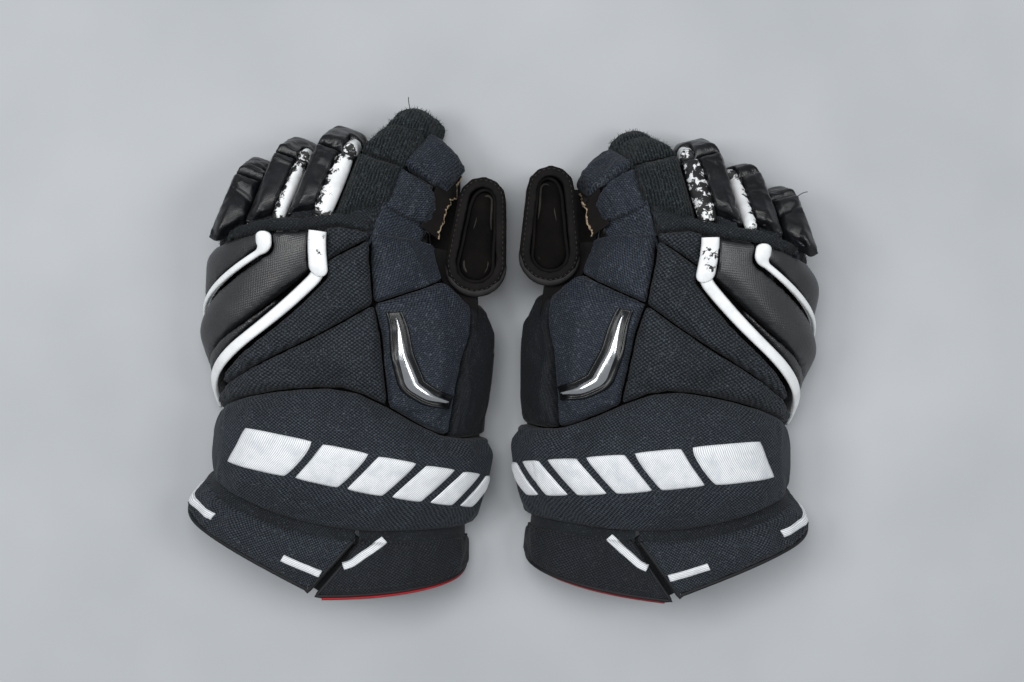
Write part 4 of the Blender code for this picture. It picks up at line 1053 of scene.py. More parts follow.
def twill_finish(name, rib, groove, pitch, frayed, fluff_and_glints):
    """Woven nylon twill: fine slanted ribs broken by the weft, matt with a cool cast."""
    tree, shader = start_finish(name, {"Roughness": 0.75, "Sheen Weight": 0.06,
                                       "Sheen Roughness": 0.4, "Specular IOR Level": 0.2})
    cloth, place = pattern(tree)
    turned = put(tree, "Mapping", {0: cloth, "Rotation": (0.0, 0.0, math.radians(38.0))})
    ribs = checker_waves(tree, turned, pitch, pitch * 2.6)
    raised = put(tree, "MapRange", {0: ribs, 1: -0.7, 2: 0.8}, interpolation_type="SMOOTHSTEP")
    dust = put(tree, "TexNoise", {"Vector": place, "Scale": 45.0, "Detail": 5.0, "Roughness": 0.7})
    dust = put(tree, "MapRange", {0: dust, 1: 0.4, 2: 0.75, 3: 0.85, 4: 1.25})
    lit = put(tree, "VectorMath", {0: tuple(rib), "Scale": dust}, operation="SCALE")
    shade = put(tree, "MixRGB", {0: raised, 1: rgba(groove), 2: lit})
    shade = with_fluff_and_glints(tree, place, shade, fluff_and_glints)
    edge = put(tree, "Attribute", attribute_name="edge").outputs["Fac"]
    fray = put(tree, "TexNoise", {"Vector": place, "Scale": 700.0, "Detail": 3.0, "Roughness": 0.7})
    patch = put(tree, "TexNoise", {"Vector": place, "Scale": 60.0, "Detail": 2.0})
    fray = put(tree, "Math", {0: fray, 1: patch}, operation="ADD")
    fray = put(tree, "Math", {0: edge, 1: 0.30, 2: fray}, operation="MULTIPLY_ADD")
    fray = put(tree, "MapRange", {0: fray, 1: 1.36, 2: 1.56, 3: 0.0, 4: frayed})
    shade = put(tree, "MixRGB", {0: fray, 1: shade, 2: rgba(linear("#666c73"))})
    surface(tree, shader, shade, raised, 0.0002, 0.6)


def vinyl_finish(name, colours, pitch, emboss, gloss, smooth, rubbed_off):
    """Coated fabric: satin black skin with a fine grain, pressed dots, and rubbed, greyer ridges."""
    tree, shader = start_finish(name, {"Roughness": smooth, "Specular IOR Level": gloss})
    cloth, place = pattern(tree)
    dots = checker_waves(tree, cloth, pitch, pitch)
    grain = put(tree, "TexNoise", {"Vector": place, "Scale": 1100.0, "Detail": 2.0})
    height = put(tree, "Math", {0: dots, 1: emboss}, operation="MULTIPLY")
    height = put(tree, "Math", {0: height, 1: grain}, operation="ADD")
    rubbed = put(tree, "TexNoise", {"Vector": place, "Scale": 55.0, "Detail": 6.0, "Roughness": 0.7})
    rubbed = put(tree, "MapRange", {0: rubbed, 1: 0.45, 2: 0.8})
    shade = put(tree, "MixRGB", {0: rubbed, 1: rgba(colours.vinyl), 2: rgba(linear("#1d2024"))})
    rough = put(tree, "MapRange", {0: rubbed, 1: 0.0, 2: 1.0, 3: smooth, 4: smooth + rubbed_off})
    tree.links.new(rough.outputs[0], shader.inputs["Roughness"])
    surface(tree, shader, shade, height, 0.00016, 0.7)


def white_finish(name, colours, worn):
    """White coated fabric, scuffed through to its black backing in ragged patches."""
    tree, shader = start_finish(name, {"Roughness": 0.5, "Specular IOR Level": 0.4})
    place = put(tree, "TexCoord").outputs["Object"]
    wear = put(tree, "Attribute", attribute_name="wear").outputs["Fac"]
    patch = put(tree, "TexNoise", {"Vector": place, "Scale": 260.0, "Detail": 6.0, "Roughness": 0.68})
    patch = put(tree, "Math", {0: wear, 1: 0.36, 2: patch.outputs[0]}, operation="MULTIPLY_ADD")
    scuff = put(tree, "MapRange", {0: patch, 1: 0.70 - worn, 2: 0.73 - worn})
    grime = put(tree, "TexNoise", {"Vector": place, "Scale": 70.0, "Detail": 5.0, "Roughness": 0.6})
    grime = put(tree, "MapRange", {0: grime, 1: 0.45, 2: 0.8, 3: 0.0, 4: 0.35 + worn})
    # Painted shade: the rolls' thumb side is greyed as if turned from the light, added to the random grime
    painted_side_shade = put(tree, "Attribute", attribute_name="grime").outputs["Fac"]
    grime = put(tree, "Math", {0: painted_side_shade, 1: 0.6, 2: grime}, operation="MULTIPLY_ADD", use_clamp=True)
    grey = put(tree, "MixRGB", {0: grime, 1: rgba(colours.white), 2: rgba(linear("#8f9296"))})
    shade = put(tree, "MixRGB", {0: scuff, 1: grey, 2: rgba(colours.scuff)})
    grain = put(tree, "TexNoise", {"Vector": place, "Scale": 900.0, "Detail": 2.0})
    height = put(tree, "Math", {0: grain, 1: scuff}, operation="SUBTRACT")
    surface(tree, shader, shade, height, 0.00015, 0.5)


def fuzz_finish(name, colours, pitch):
    """Knitted mesh rubbed fuzzy: its threads stand up in pale, slightly green flecks."""
    tree, shader = start_finish(name, {"Roughness": 0.9, "Sheen Weight": 0.05,
                                       "Sheen Roughness": 0.6, "Specular IOR Level": 0.1})
    cloth, place = pattern(tree)
    wobble = put(tree, "TexNoise", {"Vector": place, "Scale": 160.0, "Detail": 2.0})
    wobble = {0: wobble.outputs["Color"], "Scale": pitch * 1.4}
    wobble = put(tree, "VectorMath", wobble, operation="SCALE")
    cloth = put(tree, "VectorMath", {0: cloth, 1: wobble}, operation="ADD")
    parts = put(tree, "SeparateXYZ", {0: cloth})
    turn = put(tree, "Math", {0: parts.outputs[0], 1: 2 * math.pi / pitch}, operation="MULTIPLY")
    ribs = put(tree, "Math", {0: turn}, operation="COSINE")
    dots = checker_waves(tree, cloth, pitch * 2, pitch * 0.8)
    dots = put(tree, "Math", {0: dots, 1: 0.45, 2: ribs}, operation="MULTIPLY_ADD")
    raised = put(tree, "MapRange", {0: dots, 1: -0.7, 2: 1.1}, interpolation_type="SMOOTHSTEP")
    fleck = put(tree, "TexNoise", {"Vector": place, "Scale": 420.0, "Detail": 4.0, "Roughness": 0.75})
    fleck = put(tree, "MapRange", {0: fleck, 1: 0.54, 2: 0.78})
    base = put(tree, "MixRGB", {0: raised, 1: rgba(colours.hole), 2: rgba(linear("#262c2f"))})
    shade = put(tree, "MixRGB", {0: fleck, 1: base, 2: rgba(colours.fuzz)})
    shade = with_fluff_and_glints(tree, place, shade, 0.30)
    height = put(tree, "Math", {0: raised, 1: fleck}, operation="ADD")
    surface(tree, shader, shade, height, 0.0004, 0.7)


def hide_finish(name, shade_one, shade_two, roughness, grain, gloss=0.3):
    """Leather, suede or moulded plastic: an uneven dark tone over a fine grain."""
    tree, shader = start_finish(name, {"Roughness": roughness, "Specular IOR Level": gloss})
    place = put(tree, "TexCoord").outputs["Object"]
    cloud = put(tree, "TexNoise", {"Vector": place, "Scale": 60.0, "Detail": 6.0, "Roughness": 0.7})
    cloud = put(tree, "MapRange", {0: cloud, 1: 0.35, 2: 0.7})
    pores = put(tree, "TexVoronoi", {"Vector": place, "Scale": 1.0 / grain})
    shade = put(tree, "MixRGB", {0: cloud, 1: rgba(shade_one), 2: rgba(shade_two)})
    surface(tree, shader, shade, pores, grain * 0.15, 0.5)


def satin_finish(name, shade):
    """Rayon embroidery thread in satin stitch: close parallel threads with a soft sheen, painted grey shade
    in the gaps between them and a slow drift of painted sheen over the white.
    """
    tree, shader = start_finish(name, {"Roughness": 0.42, "Sheen Weight": 0.3, "Specular IOR Level": 0.5})
    cloth, place = pattern(tree)
    parts = put(tree, "SeparateXYZ", {0: cloth})
    drift = put(tree, "TexNoise", {"Vector": place, "Scale": 150.0, "Detail": 2.0})
    drift = put(tree, "Math", {0: drift, 1: 0.0012}, operation="MULTIPLY")
    spot = put(tree, "Math", {0: parts.outputs[0], 1: drift}, operation="ADD")
    turn = put(tree, "Math", {0: spot, 1: 2 * math.pi / 0.0010}, operation="MULTIPLY")
    thread = put(tree, "Math", {0: turn}, operation="SINE")
    raised = put(tree, "MapRange", {0: thread, 1: -1.0, 2: 0.4})
    # Painted sheen: a slow drift from white to light grey over the threads
    painted_sheen_drift = put(tree, "TexNoise", {"Vector": place, "Scale": 110.0, "Detail": 3.0, "Roughness": 0.6})
    painted_sheen_drift = put(tree, "MapRange", {0: painted_sheen_drift, 1: 0.45, 2: 0.75})
    lit = put(tree, "MixRGB", {0: painted_sheen_drift, 1: rgba(shade), 2: rgba(linear("#d3d8de"))})
    # Painted shade: the gaps between the threads are grey
    shade_node = put(tree, "MixRGB", {0: raised, 1: rgba(linear("#aeb4ba")), 2: lit})
    surface(tree, shader, shade_node, raised, 0.00025, 0.6)


def torn_finish(name, colours):
    """Suede torn along its edge: dark face, raw tan fibres at the tear."""
    tree, shader = start_finish(name, {"Roughness": 0.9, "Specular IOR Level": 0.15})
    cloth, place = pattern(tree)
    parts = put(tree, "SeparateXYZ", {0: cloth})
    fibre = put(tree, "TexNoise", {"Vector": place, "Scale": 500.0, "Detail": 4.0})
    reach = put(tree, "Math", {0: fibre, 1: 0.5, 2: parts.outputs[0]}, operation="MULTIPLY_ADD")
    raw = put(tree, "MapRange", {0: reach, 1: 1.10, 2: 1.18})
    shade = put(tree, "MixRGB", {0: raw, 1: rgba(colours.leather), 2: rgba(colours.torn)})
    surface(tree, shader, shade, fibre, 0.0004, 0.6)


def chrome_finish(name, shade):
    """Bright plated plastic: a clear mirror, slightly softened by fine scratches."""
    tree, shader = start_finish(name, {"Roughness": 0.16, "Metallic": 1.0})
    place = put(tree, "TexCoord").outputs["Object"]
    scratch = put(tree, "TexNoise", {"Vector": place, "Scale": 260.0, "Detail": 5.0})
    rough = put(tree, "MapRange", {0: scratch, 1: 0.3, 2: 0.8, 3: 0.1, 4: 0.28})
    shader.inputs["Base Color"].default_value = rgba(shade)
    tree.links.new(rough.outputs[0], shader.inputs["Roughness"])


class GLOVE_OT_finishes(bpy.types.Operator):
    """Make the fabrics, leathers and metal that the pieces are covered with"""

    bl_idname = "glove.finishes"
    bl_label = "Finishes"

    def execute(self, context):
        sizes = context.scene.glove_sizes
        colours = context.scene.glove_colours
        # Knitted polyester mesh, open: lit thread crossings in rows over dark gaps, greyed by lint and
        # painted glints of thread ends
        mesh_finish("knitted_polyester_mesh", colours, colours.thread, sizes.coarse_pitch, 1.25, 0.25, 0.33)
        # Closer knits of the same yarn: a finer grain of dots, duller where they are dark or rubbed; the
        # rubbed one also serves as painted shade on the cuff webs under the wrist roll
        mesh_finish("fine_knitted_mesh", colours, linear("#38404a"), sizes.fine_pitch, 1.15, 0.2, 0.33)
        mesh_finish("dark_knitted_mesh", colours, linear("#272c33"), sizes.fine_pitch, 1.15, 0.2, 0.14)
        mesh_finish("rubbed_knitted_mesh", colours, linear("#282e34"), sizes.fine_pitch, 1.15, 0.35, 0.20)
        # Knit rubbed until it frays: ribs half lost under pale, slightly green thread ends
        fuzz_finish("frayed_knitted_mesh", colours, sizes.fine_pitch)
        # Woven nylon twill: fine slanted ribs with a cool cast, frayed grey along the edges
        twill_finish("woven_nylon_twill", colours.twill, colours.twill_dark, sizes.twill_pitch, 0.5, 0.40)
        twill_finish("dark_woven_twill", linear("#191d22"), linear("#0b0d10"), sizes.twill_pitch, 0.0, 0.10)
        # Polyurethane-coated polyester: a satin black skin with a soft broad gloss, plain, dotted or smooth
        vinyl_finish("coated_polyester_fabric", colours, sizes.emboss_pitch, 0.5, 0.9, 0.42, 0.10)
        vinyl_finish("embossed_coated_fabric", colours, sizes.emboss_pitch, 0.7, 1.0, 0.44, 0.10)
        vinyl_finish("smooth_coated_fabric", colours, sizes.emboss_pitch, 0.3, 0.4, 0.30, 0.16)
        # White coated fabric: slightly glossy, grimy in random patches and greyed by painted shade down the
        # rolls' thumb side, scuffed through in ragged patches
        white_finish("white_coated_fabric", colours, 0.0)
        white_finish("scuffed_coated_fabric", colours, 0.03)
        # Rayon in satin stitch: close parallel threads, white on their crowns, with painted grey shade
        # between them and a slow drift of painted sheen
        satin_finish("satin_stitched_rayon", colours.satin)
        # Suede torn off: dark nap with a raw tan edge
        torn_finish("torn_suede", colours)
        # Woven nylon tape and piping: a dull, close grain
        hide_finish("woven_nylon_binding", linear("#0f1113"), linear("#191b1f"), 0.6, 0.0007)
        hide_finish("woven_red_piping", colours.red, linear("#8d0d16"), 0.55, 0.0007)
        # Polyester thread, spun or frayed: matt, uneven in tone
        hide_finish("spun_polyester_thread", linear("#22211f"), linear("#32302d"), 0.6, 0.0005)
        hide_finish("frayed_polyester_thread", linear("#1b2123"), linear("#3b4544"), 0.8, 0.0005)
        # Leathers: tanned with open pores, coated and nearly black, pressed and greyer, rubbed at a seam
        hide_finish("tanned_leather", colours.leather, linear("#252220"), 0.75, 0.0011)
        hide_finish("coated_leather", linear("#0a0909"), linear("#171413"), 0.80, 0.0009, 0.15)
        hide_finish("pressed_leather", linear("#191818"), linear("#2b2929"), 0.7, 0.0009)
        hide_finish("rubbed_leather_seam", linear("#1f1c1a"), linear("#37312b"), 0.75, 0.0006)
        # Brushed suede: a soft nap that gives back hardly any light
        hide_finish("brushed_suede", colours.suede, linear("#131110"), 0.95, 0.0007, 0.08)
        # Moulded plastics: even, finely grained, glossier on the ABS frame than on the polyethylene board
        hide_finish("moulded_abs", linear("#0b0c0d"), linear("#121416"), 0.28, 0.0003, 0.45)
        hide_finish("moulded_polyethylene", colours.board, linear("#505156"), 0.5, 0.0008)
        # Chrome-plated ABS: a clear mirror, softened by fine scratches
        chrome_finish("chrome_plated_abs", colours.chrome)
        return {"FINISHED"}


class GLOVE_OT_foam_pads(bpy.types.Operator):
    """Cut every foam pad from its solid, ready to be puffed up"""

    bl_idname = "glove.foam_pads"
    bl_label = "Foam Pads"

    def execute(self, context):
        sizes = context.scene.glove_sizes
        for hand in HANDS:
            for name, (finish, turn, swell) in (*HAND_PADS.items(), *CUFF_PADS.items()):
                node = f"{hand.name}_{name}"
                voxel = sizes.small_voxel if name in SMALL_PADS else sizes.pad_voxel
                thing = remeshed(f"{node}_cover", solid_copy(node), voxel, 3)
                body = f"{node}_flap" if name in CUFF_PADS else f"{hand.name}_hand"
                cloth = (lambda points, hand=hand, turn=turn: hand.weave(points, turn))
                SOFT.append(Pad(thing, node, body, finish, hand.outward, hand.lower, cloth, swell / 1000,
                                RIMS.get(name, PAD_RIM), SMOOTH_PADS.get(name, 1.0)))
        return {"FINISHED"}


class GLOVE_OT_fingers(bpy.types.Operator):
    """Split every finger segment into its foam pad and the leather stall below"""

    bl_idname = "glove.fingers"
    bl_label = "Fingers"

    def execute(self, context):
        sizes = context.scene.glove_sizes
        for hand in HANDS:
            for finger in FINGER_WIDTHS:
                for segment in ("base", "tip"):
                    node = f"{hand.name}_{finger}_{segment}"
                    place = finger_frame(hand, finger, segment)
                    tilt = math.radians(TIP_SPLIT_SHARE * TIP_BENDS[finger] if segment == "tip" else 0.0)
                    up = place.to_3x3() @ Vector((0.0, math.sin(tilt), math.cos(tilt)))
                    split = place @ Vector((0.0, 0.0, STALL_SPLIT))
                    finish = "frayed_knitted_mesh" if finger == "index" else "smooth_coated_fabric"
                    above = sliced(solid_copy(node), split, up)
                    top = remeshed(f"{node}_cover", above, sizes.finger_voxel, 2)
                    bend = None
                    if segment == "base":
                        lengthen_root(top, place, *FINGER_ROOTS[finger], FINGER_WIDTHS[finger] / 2)
                        ends = [place @ Vector((0.0, along, 0.0)) for along in (-ROOT_BEND, ROOT_BEND)]
                        bend = (f"{hand.name}_hand", *ends)
                    else:
                        lengthen_root(top, place, -TIP_CLEARANCE, 0.0)
                    rim, wrinkle = (INDEX_RIM, 1.0) if finger == "index" else (FINGER_RIM, FINGER_WRINKLE)
                    pad = Pad(top, node, node, finish, *upward(up, split), in_finger(place), FINGER_SWELL,
                              rim, wrinkle)
                    pad.bend = bend
                    pad.place = place
                    SOFT.append(pad)
                    below = sliced(solid_copy(node), split, -up)
                    stall = remeshed(f"{node}_stall", below, sizes.leather_voxel, 1)
                    dress(stall, node, "tanned_leather")
                    COVERS[f"{node}_stall"] = stall
            for segment in ("base", "tip"):
                node = f"{hand.name}_index_{segment}_side"
                place = finger_frame(hand, "index", segment)
                up = place.to_3x3() @ Vector(SIDE_PAD_UP)
                thing = remeshed(f"{node}_cover", solid_copy(node), sizes.finger_voxel, 3)
                lowest = min(corners(thing.data) @ np.array(up))
                rules = upward(up, up * float(lowest))
                SOFT.append(Pad(thing, node, f"{hand.name}_index_{segment}", "woven_nylon_twill", *rules,
                                in_finger(place), SIDE_PAD_SWELL, SIDE_RIM))
        return {"FINISHED"}


def upward(up, foot):
    """Two rules for a pad with one upward direction: its normals, and how it is pressed to its foot."""
    up = np.array(up)
    foot = np.array(foot)

    def outward(points):
        return np.tile(up, (len(points), 1))

    def lower(points, share):
        height = np.maximum((points - foot) @ up, 0.0)
        return points - up * (height * (1.0 - share))[:, None]

    return outward, lower


def in_finger(place):
    return lambda points: in_frame(points, place)


def lengthen_root(thing, place, back, slant, half=None):
    """Draw a finger pad's end back to the welt, further on the little finger side, and round its corner."""
    local = in_frame(corners(thing.data), place)
    fade = 1.0 - smooth_step((local[:, 1] - ROOT_HOLD) / ROOT_FADE)
    pull = (back - slant * local[:, 0]) * fade
    if half:
        corner = smooth_step((ROOT_CORNER - half - local[:, 0]) / ROOT_CORNER)
        pull *= 1.0 - (1.0 - ROOT_CORNER_KEEP) * corner
        height = np.maximum(local[:, 2] - STALL_SPLIT, 0.0)
        local[:, 2] -= height * (1.0 - ROOT_CORNER_HEIGHT) * corner * fade
    local[:, 1] -= pull
    move_corners(thing.data, out_of_frame(local, place))


def pinch(pad, along, slant, depth, width):
    """Press a crease across a finger pad."""
    points = corners(pad.thing.data)
    local = in_frame(points, pad.place)
    near = np.exp(-((local[:, 1] - along - slant * local[:, 0]) / width) ** 2)
    near = near * smooth_step(local[:, 2] / PINCH_TOP)
    move_corners(pad.thing.data, points - np.array(pad.place)[:3, 2] * (depth * near)[:, None])


def groove(pad, wide, middle, end):
    """Press down the side of a finger pad that carries a white roll."""
    local = in_frame(corners(pad.thing.data), pad.place)
    inside = smooth_step((local[:, 0] - middle + wide / 2 + GROOVE_ROOM[0]) / GROOVE_SLOPE)
    inside = inside * smooth_step((end + GROOVE_ROOM[1] - local[:, 1]) / GROOVE_SLOPE)
    local[:, 2] = STALL_SPLIT + (local[:, 2] - STALL_SPLIT) * (1.0 - GROOVE_SHARE * inside)
    move_corners(pad.thing.data, out_of_frame(local, pad.place))


class GLOVE_OT_puff(bpy.types.Operator):
    """Puff up all foam pads, refine and crease their covers, and dress them"""

    bl_idname = "glove.puff"
    bl_label = "Puff Up Pads"

    def execute(self, context):
        sizes = context.scene.glove_sizes
        puff(SOFT, sizes.side_limit)
        for number, pad in enumerate(SOFT):
            part = pad.node.split("_", 1)[1]
            if part in SMOOTH_PADS:
                even_out(pad)
            round_edges(pad)
            refined(pad.thing)
            COVERS[pad.node] = pad.thing
            if part in FINGER_ROLLS:
                wide, middle, _, end = FINGER_ROLLS[part][:4]
                groove(pad, wide, middle, end)
            if part in PINCHES:
                pinch(pad, *PINCHES[part])
            crease(pad.thing, sizes.wrinkle_depth * pad.wrinkle, sizes.wrinkle_size, number)
            keep_vector(pad.thing.data, "cloth", pad.cloth(corners(pad.thing.data)))
            dress(pad.thing, pad.body, pad.finish, pad.node, pad.bend)
        return {"FINISHED"}


class GLOVE_OT_leather(bpy.types.Operator):
    """Round off the palms, liners and thumb guards"""

    bl_idname = "glove.leather"
    bl_label = "Palms, Liners and Thumbs"

    def execute(self, context):
        sizes = context.scene.glove_sizes
        for hand in HANDS:
            for name, body, finish, rounds in (("palm", "hand", "tanned_leather", 2),
                                               ("thumb_shell", "thumb", "coated_leather", 4),
                                               ("thumb_lining", "thumb", "brushed_suede", 3)):
                node = f"{hand.name}_{name}"
                thing = remeshed(f"{node}_cover", solid_copy(node), sizes.leather_voxel, rounds)
                if body == "thumb":
                    crease(thing, THUMB_WRINKLE, THUMB_WRINKLE_SIZE, hand.mirror)
                dress(thing, f"{hand.name}_{body}", finish, node)
                COVERS[node] = thing
            node = f"{hand.name}_liner"
            shape = solid_copy(node)
            bmesh.ops.subdivide_edges(shape, edges=shape.edges, cuts=2, use_grid_fill=True, smooth=0.3)
            thing = link(f"{node}_cover", shape)
            dress(thing, f"{hand.name}_hand", "brushed_suede", node)
            for name in ("back_cuff", "thumb_cuff"):
                board = frame["nodes"][f"{hand.name}_{name}_board"]
                board.data.materials.clear()
                board.data.materials.append(FINISHES["moulded_polyethylene"])
        return {"FINISHED"}


class GLOVE_OT_stripes(bpy.types.Operator):
    """Lay the two white stripes of each glove between the slanting rolls"""

    bl_idname = "glove.stripes"
    bl_label = "White Stripes"

    def execute(self, context):
        sizes = context.scene.glove_sizes
        stripes = (("narrow_stripe", STRIPE_ONE_SEAM, sizes.stripe_one_width, *NARROW_FLARE),
                   ("wide_stripe", STRIPE_TWO_SEAM, sizes.stripe_two_width, *WIDE_FLARE))
        for hand in HANDS:
            for name, seam, wide, flare, bend in stripes:

                def width(along, wide=wide, flare=flare, bend=bend):
                    beyond = max((along - FLARE_END[0]) / FLARE_END[1], 0.0)
                    end = math.sqrt(1.0 - (flare - 1.0) * FLARE_END_ROUND * beyond ** 2)
                    wider = 1.0 + (flare - 1.0) * float(smooth_step((along - bend) / FLARE_RUN))
                    return end * wide * wider - STRIPE_ROOM

                def where(across, along, share, side, hand=hand, flare=flare, bend=bend):
                    lift = sizes.stripe_lift - STRIPE_EDGE_FALL * side ** 4
                    lift += FLARE_RISE * (flare - 1.0) * float(smooth_step((share - bend) / FLARE_RUN))
                    return hand.lay(across, along, lift)

                thing = strip(f"{hand.name}_{name}", seam, width, where, 90, 10, STRIPE_THICK, wide / 2)
                dress(thing, f"{hand.name}_hand", "white_coated_fabric")
            self.add_cap(hand, sizes)
        return {"FINISHED"}

    def add_cap(self, hand, sizes):
        """The puffed end of the wide stripe, with a rounded foot."""

        def width(along):
            foot = min(along / STRIPE_CAP_FOOT, 1.0)
            return max(STRIPE_CAP_WIDTH * math.sqrt(1.0 - (1.0 - foot) ** 2), STRIPE_CAP_NARROWEST)

        def where(across, along, share, side):
            crown = (1.0 - side ** 4) * min(share / STRIPE_CAP_FOOT, 1.0) ** 0.5
            lift = sizes.stripe_lift + STRIPE_CAP_RISE[0] + STRIPE_CAP_RISE[1] * crown
            return hand.lay(across, along, lift)

        cap = strip(f"{hand.name}_stripe_cap", STRIPE_CAP_PATH, width, where, 44, 14, STRIPE_THICK,
                    sizes.stripe_two_width / 2)
        local = corners(cap.data)
        spot = np.array(hand.lay(*STRIPE_CAP_SCUFF, sizes.stripe_lift))
        near = np.exp(-(np.linalg.norm(local - spot, axis=1) / STRIPE_CAP_SCUFF_SIZE) ** 2)
        keep_number(cap.data, "wear", near * STRIPE_CAP_WEAR[hand.name])
        dress(cap, f"{hand.name}_hand", "scuffed_coated_fabric")


class GLOVE_OT_finger_rolls(bpy.types.Operator):
    """Add the scuffed white rolls on the ring and middle fingers"""

    bl_idname = "glove.finger_rolls"
    bl_label = "White Finger Rolls"

    def execute(self, context):
        for hand in HANDS:
            for number, (segment, row) in enumerate(FINGER_ROLLS.items()):
                wide, middle, start, end, *worn = row
                finger, part = segment.split("_")
                worn = worn[0 if hand.mirror > 0 else 1]
                place = finger_frame(hand, finger, part)
                tall = ROLL_TALL[part]
                shape = bmesh.new()
                bmesh.ops.create_uvsphere(shape, u_segments=36, v_segments=40, radius=1.0)
                wear = shape.verts.layers.float.new("wear")
                grime = shape.verts.layers.float.new("grime")
                for vert in shape.verts:
                    ring = max(math.hypot(vert.co.x, vert.co.y), 1e-6)
                    fuller = ring ** ROLL_FULLNESS / ring
                    side = vert.co.x * fuller
                    up = vert.co.y * fuller
                    along = math.copysign(abs(vert.co.z) ** ROLL_END_FULLNESS, vert.co.z)
                    spot = Vector((middle + side * wide / 2, (start + end) / 2 + along * (end - start) / 2,
                                   ROLL_TOP - tall / 2 + up * tall / 2))
                    dent = noise.noise(spot * 300.0 + Vector((number, hand.mirror, 0.0)))
                    spot.z += ROLL_DENT * dent
                    outer = max((ROLL_WEAR_FROM - side) / (1.0 + ROLL_WEAR_FROM), 0.0)
                    edges = ROLL_WEAR_ENDS * abs(along) ** 5 + ROLL_WEAR_SIDE * outer ** 1.5
                    through = ROLL_WEAR_ALL * worn ** 3 + worn * edges
                    vert[wear] = min(through, ROLL_WEAR_LIMIT)
                    # Painted shade: marks each roll's thumb side to be greyed as if turned away from the
                    # light
                    vert[grime] = max(side, 0.0) ** 1.6
                    vert.co = place @ spot
                bmesh.ops.recalc_face_normals(shape, faces=shape.faces)
                thing = link(f"{hand.name}_{segment}_roll", shape)
                dress(thing, f"{hand.name}_{segment}", "scuffed_coated_fabric")
        return {"FINISHED"}


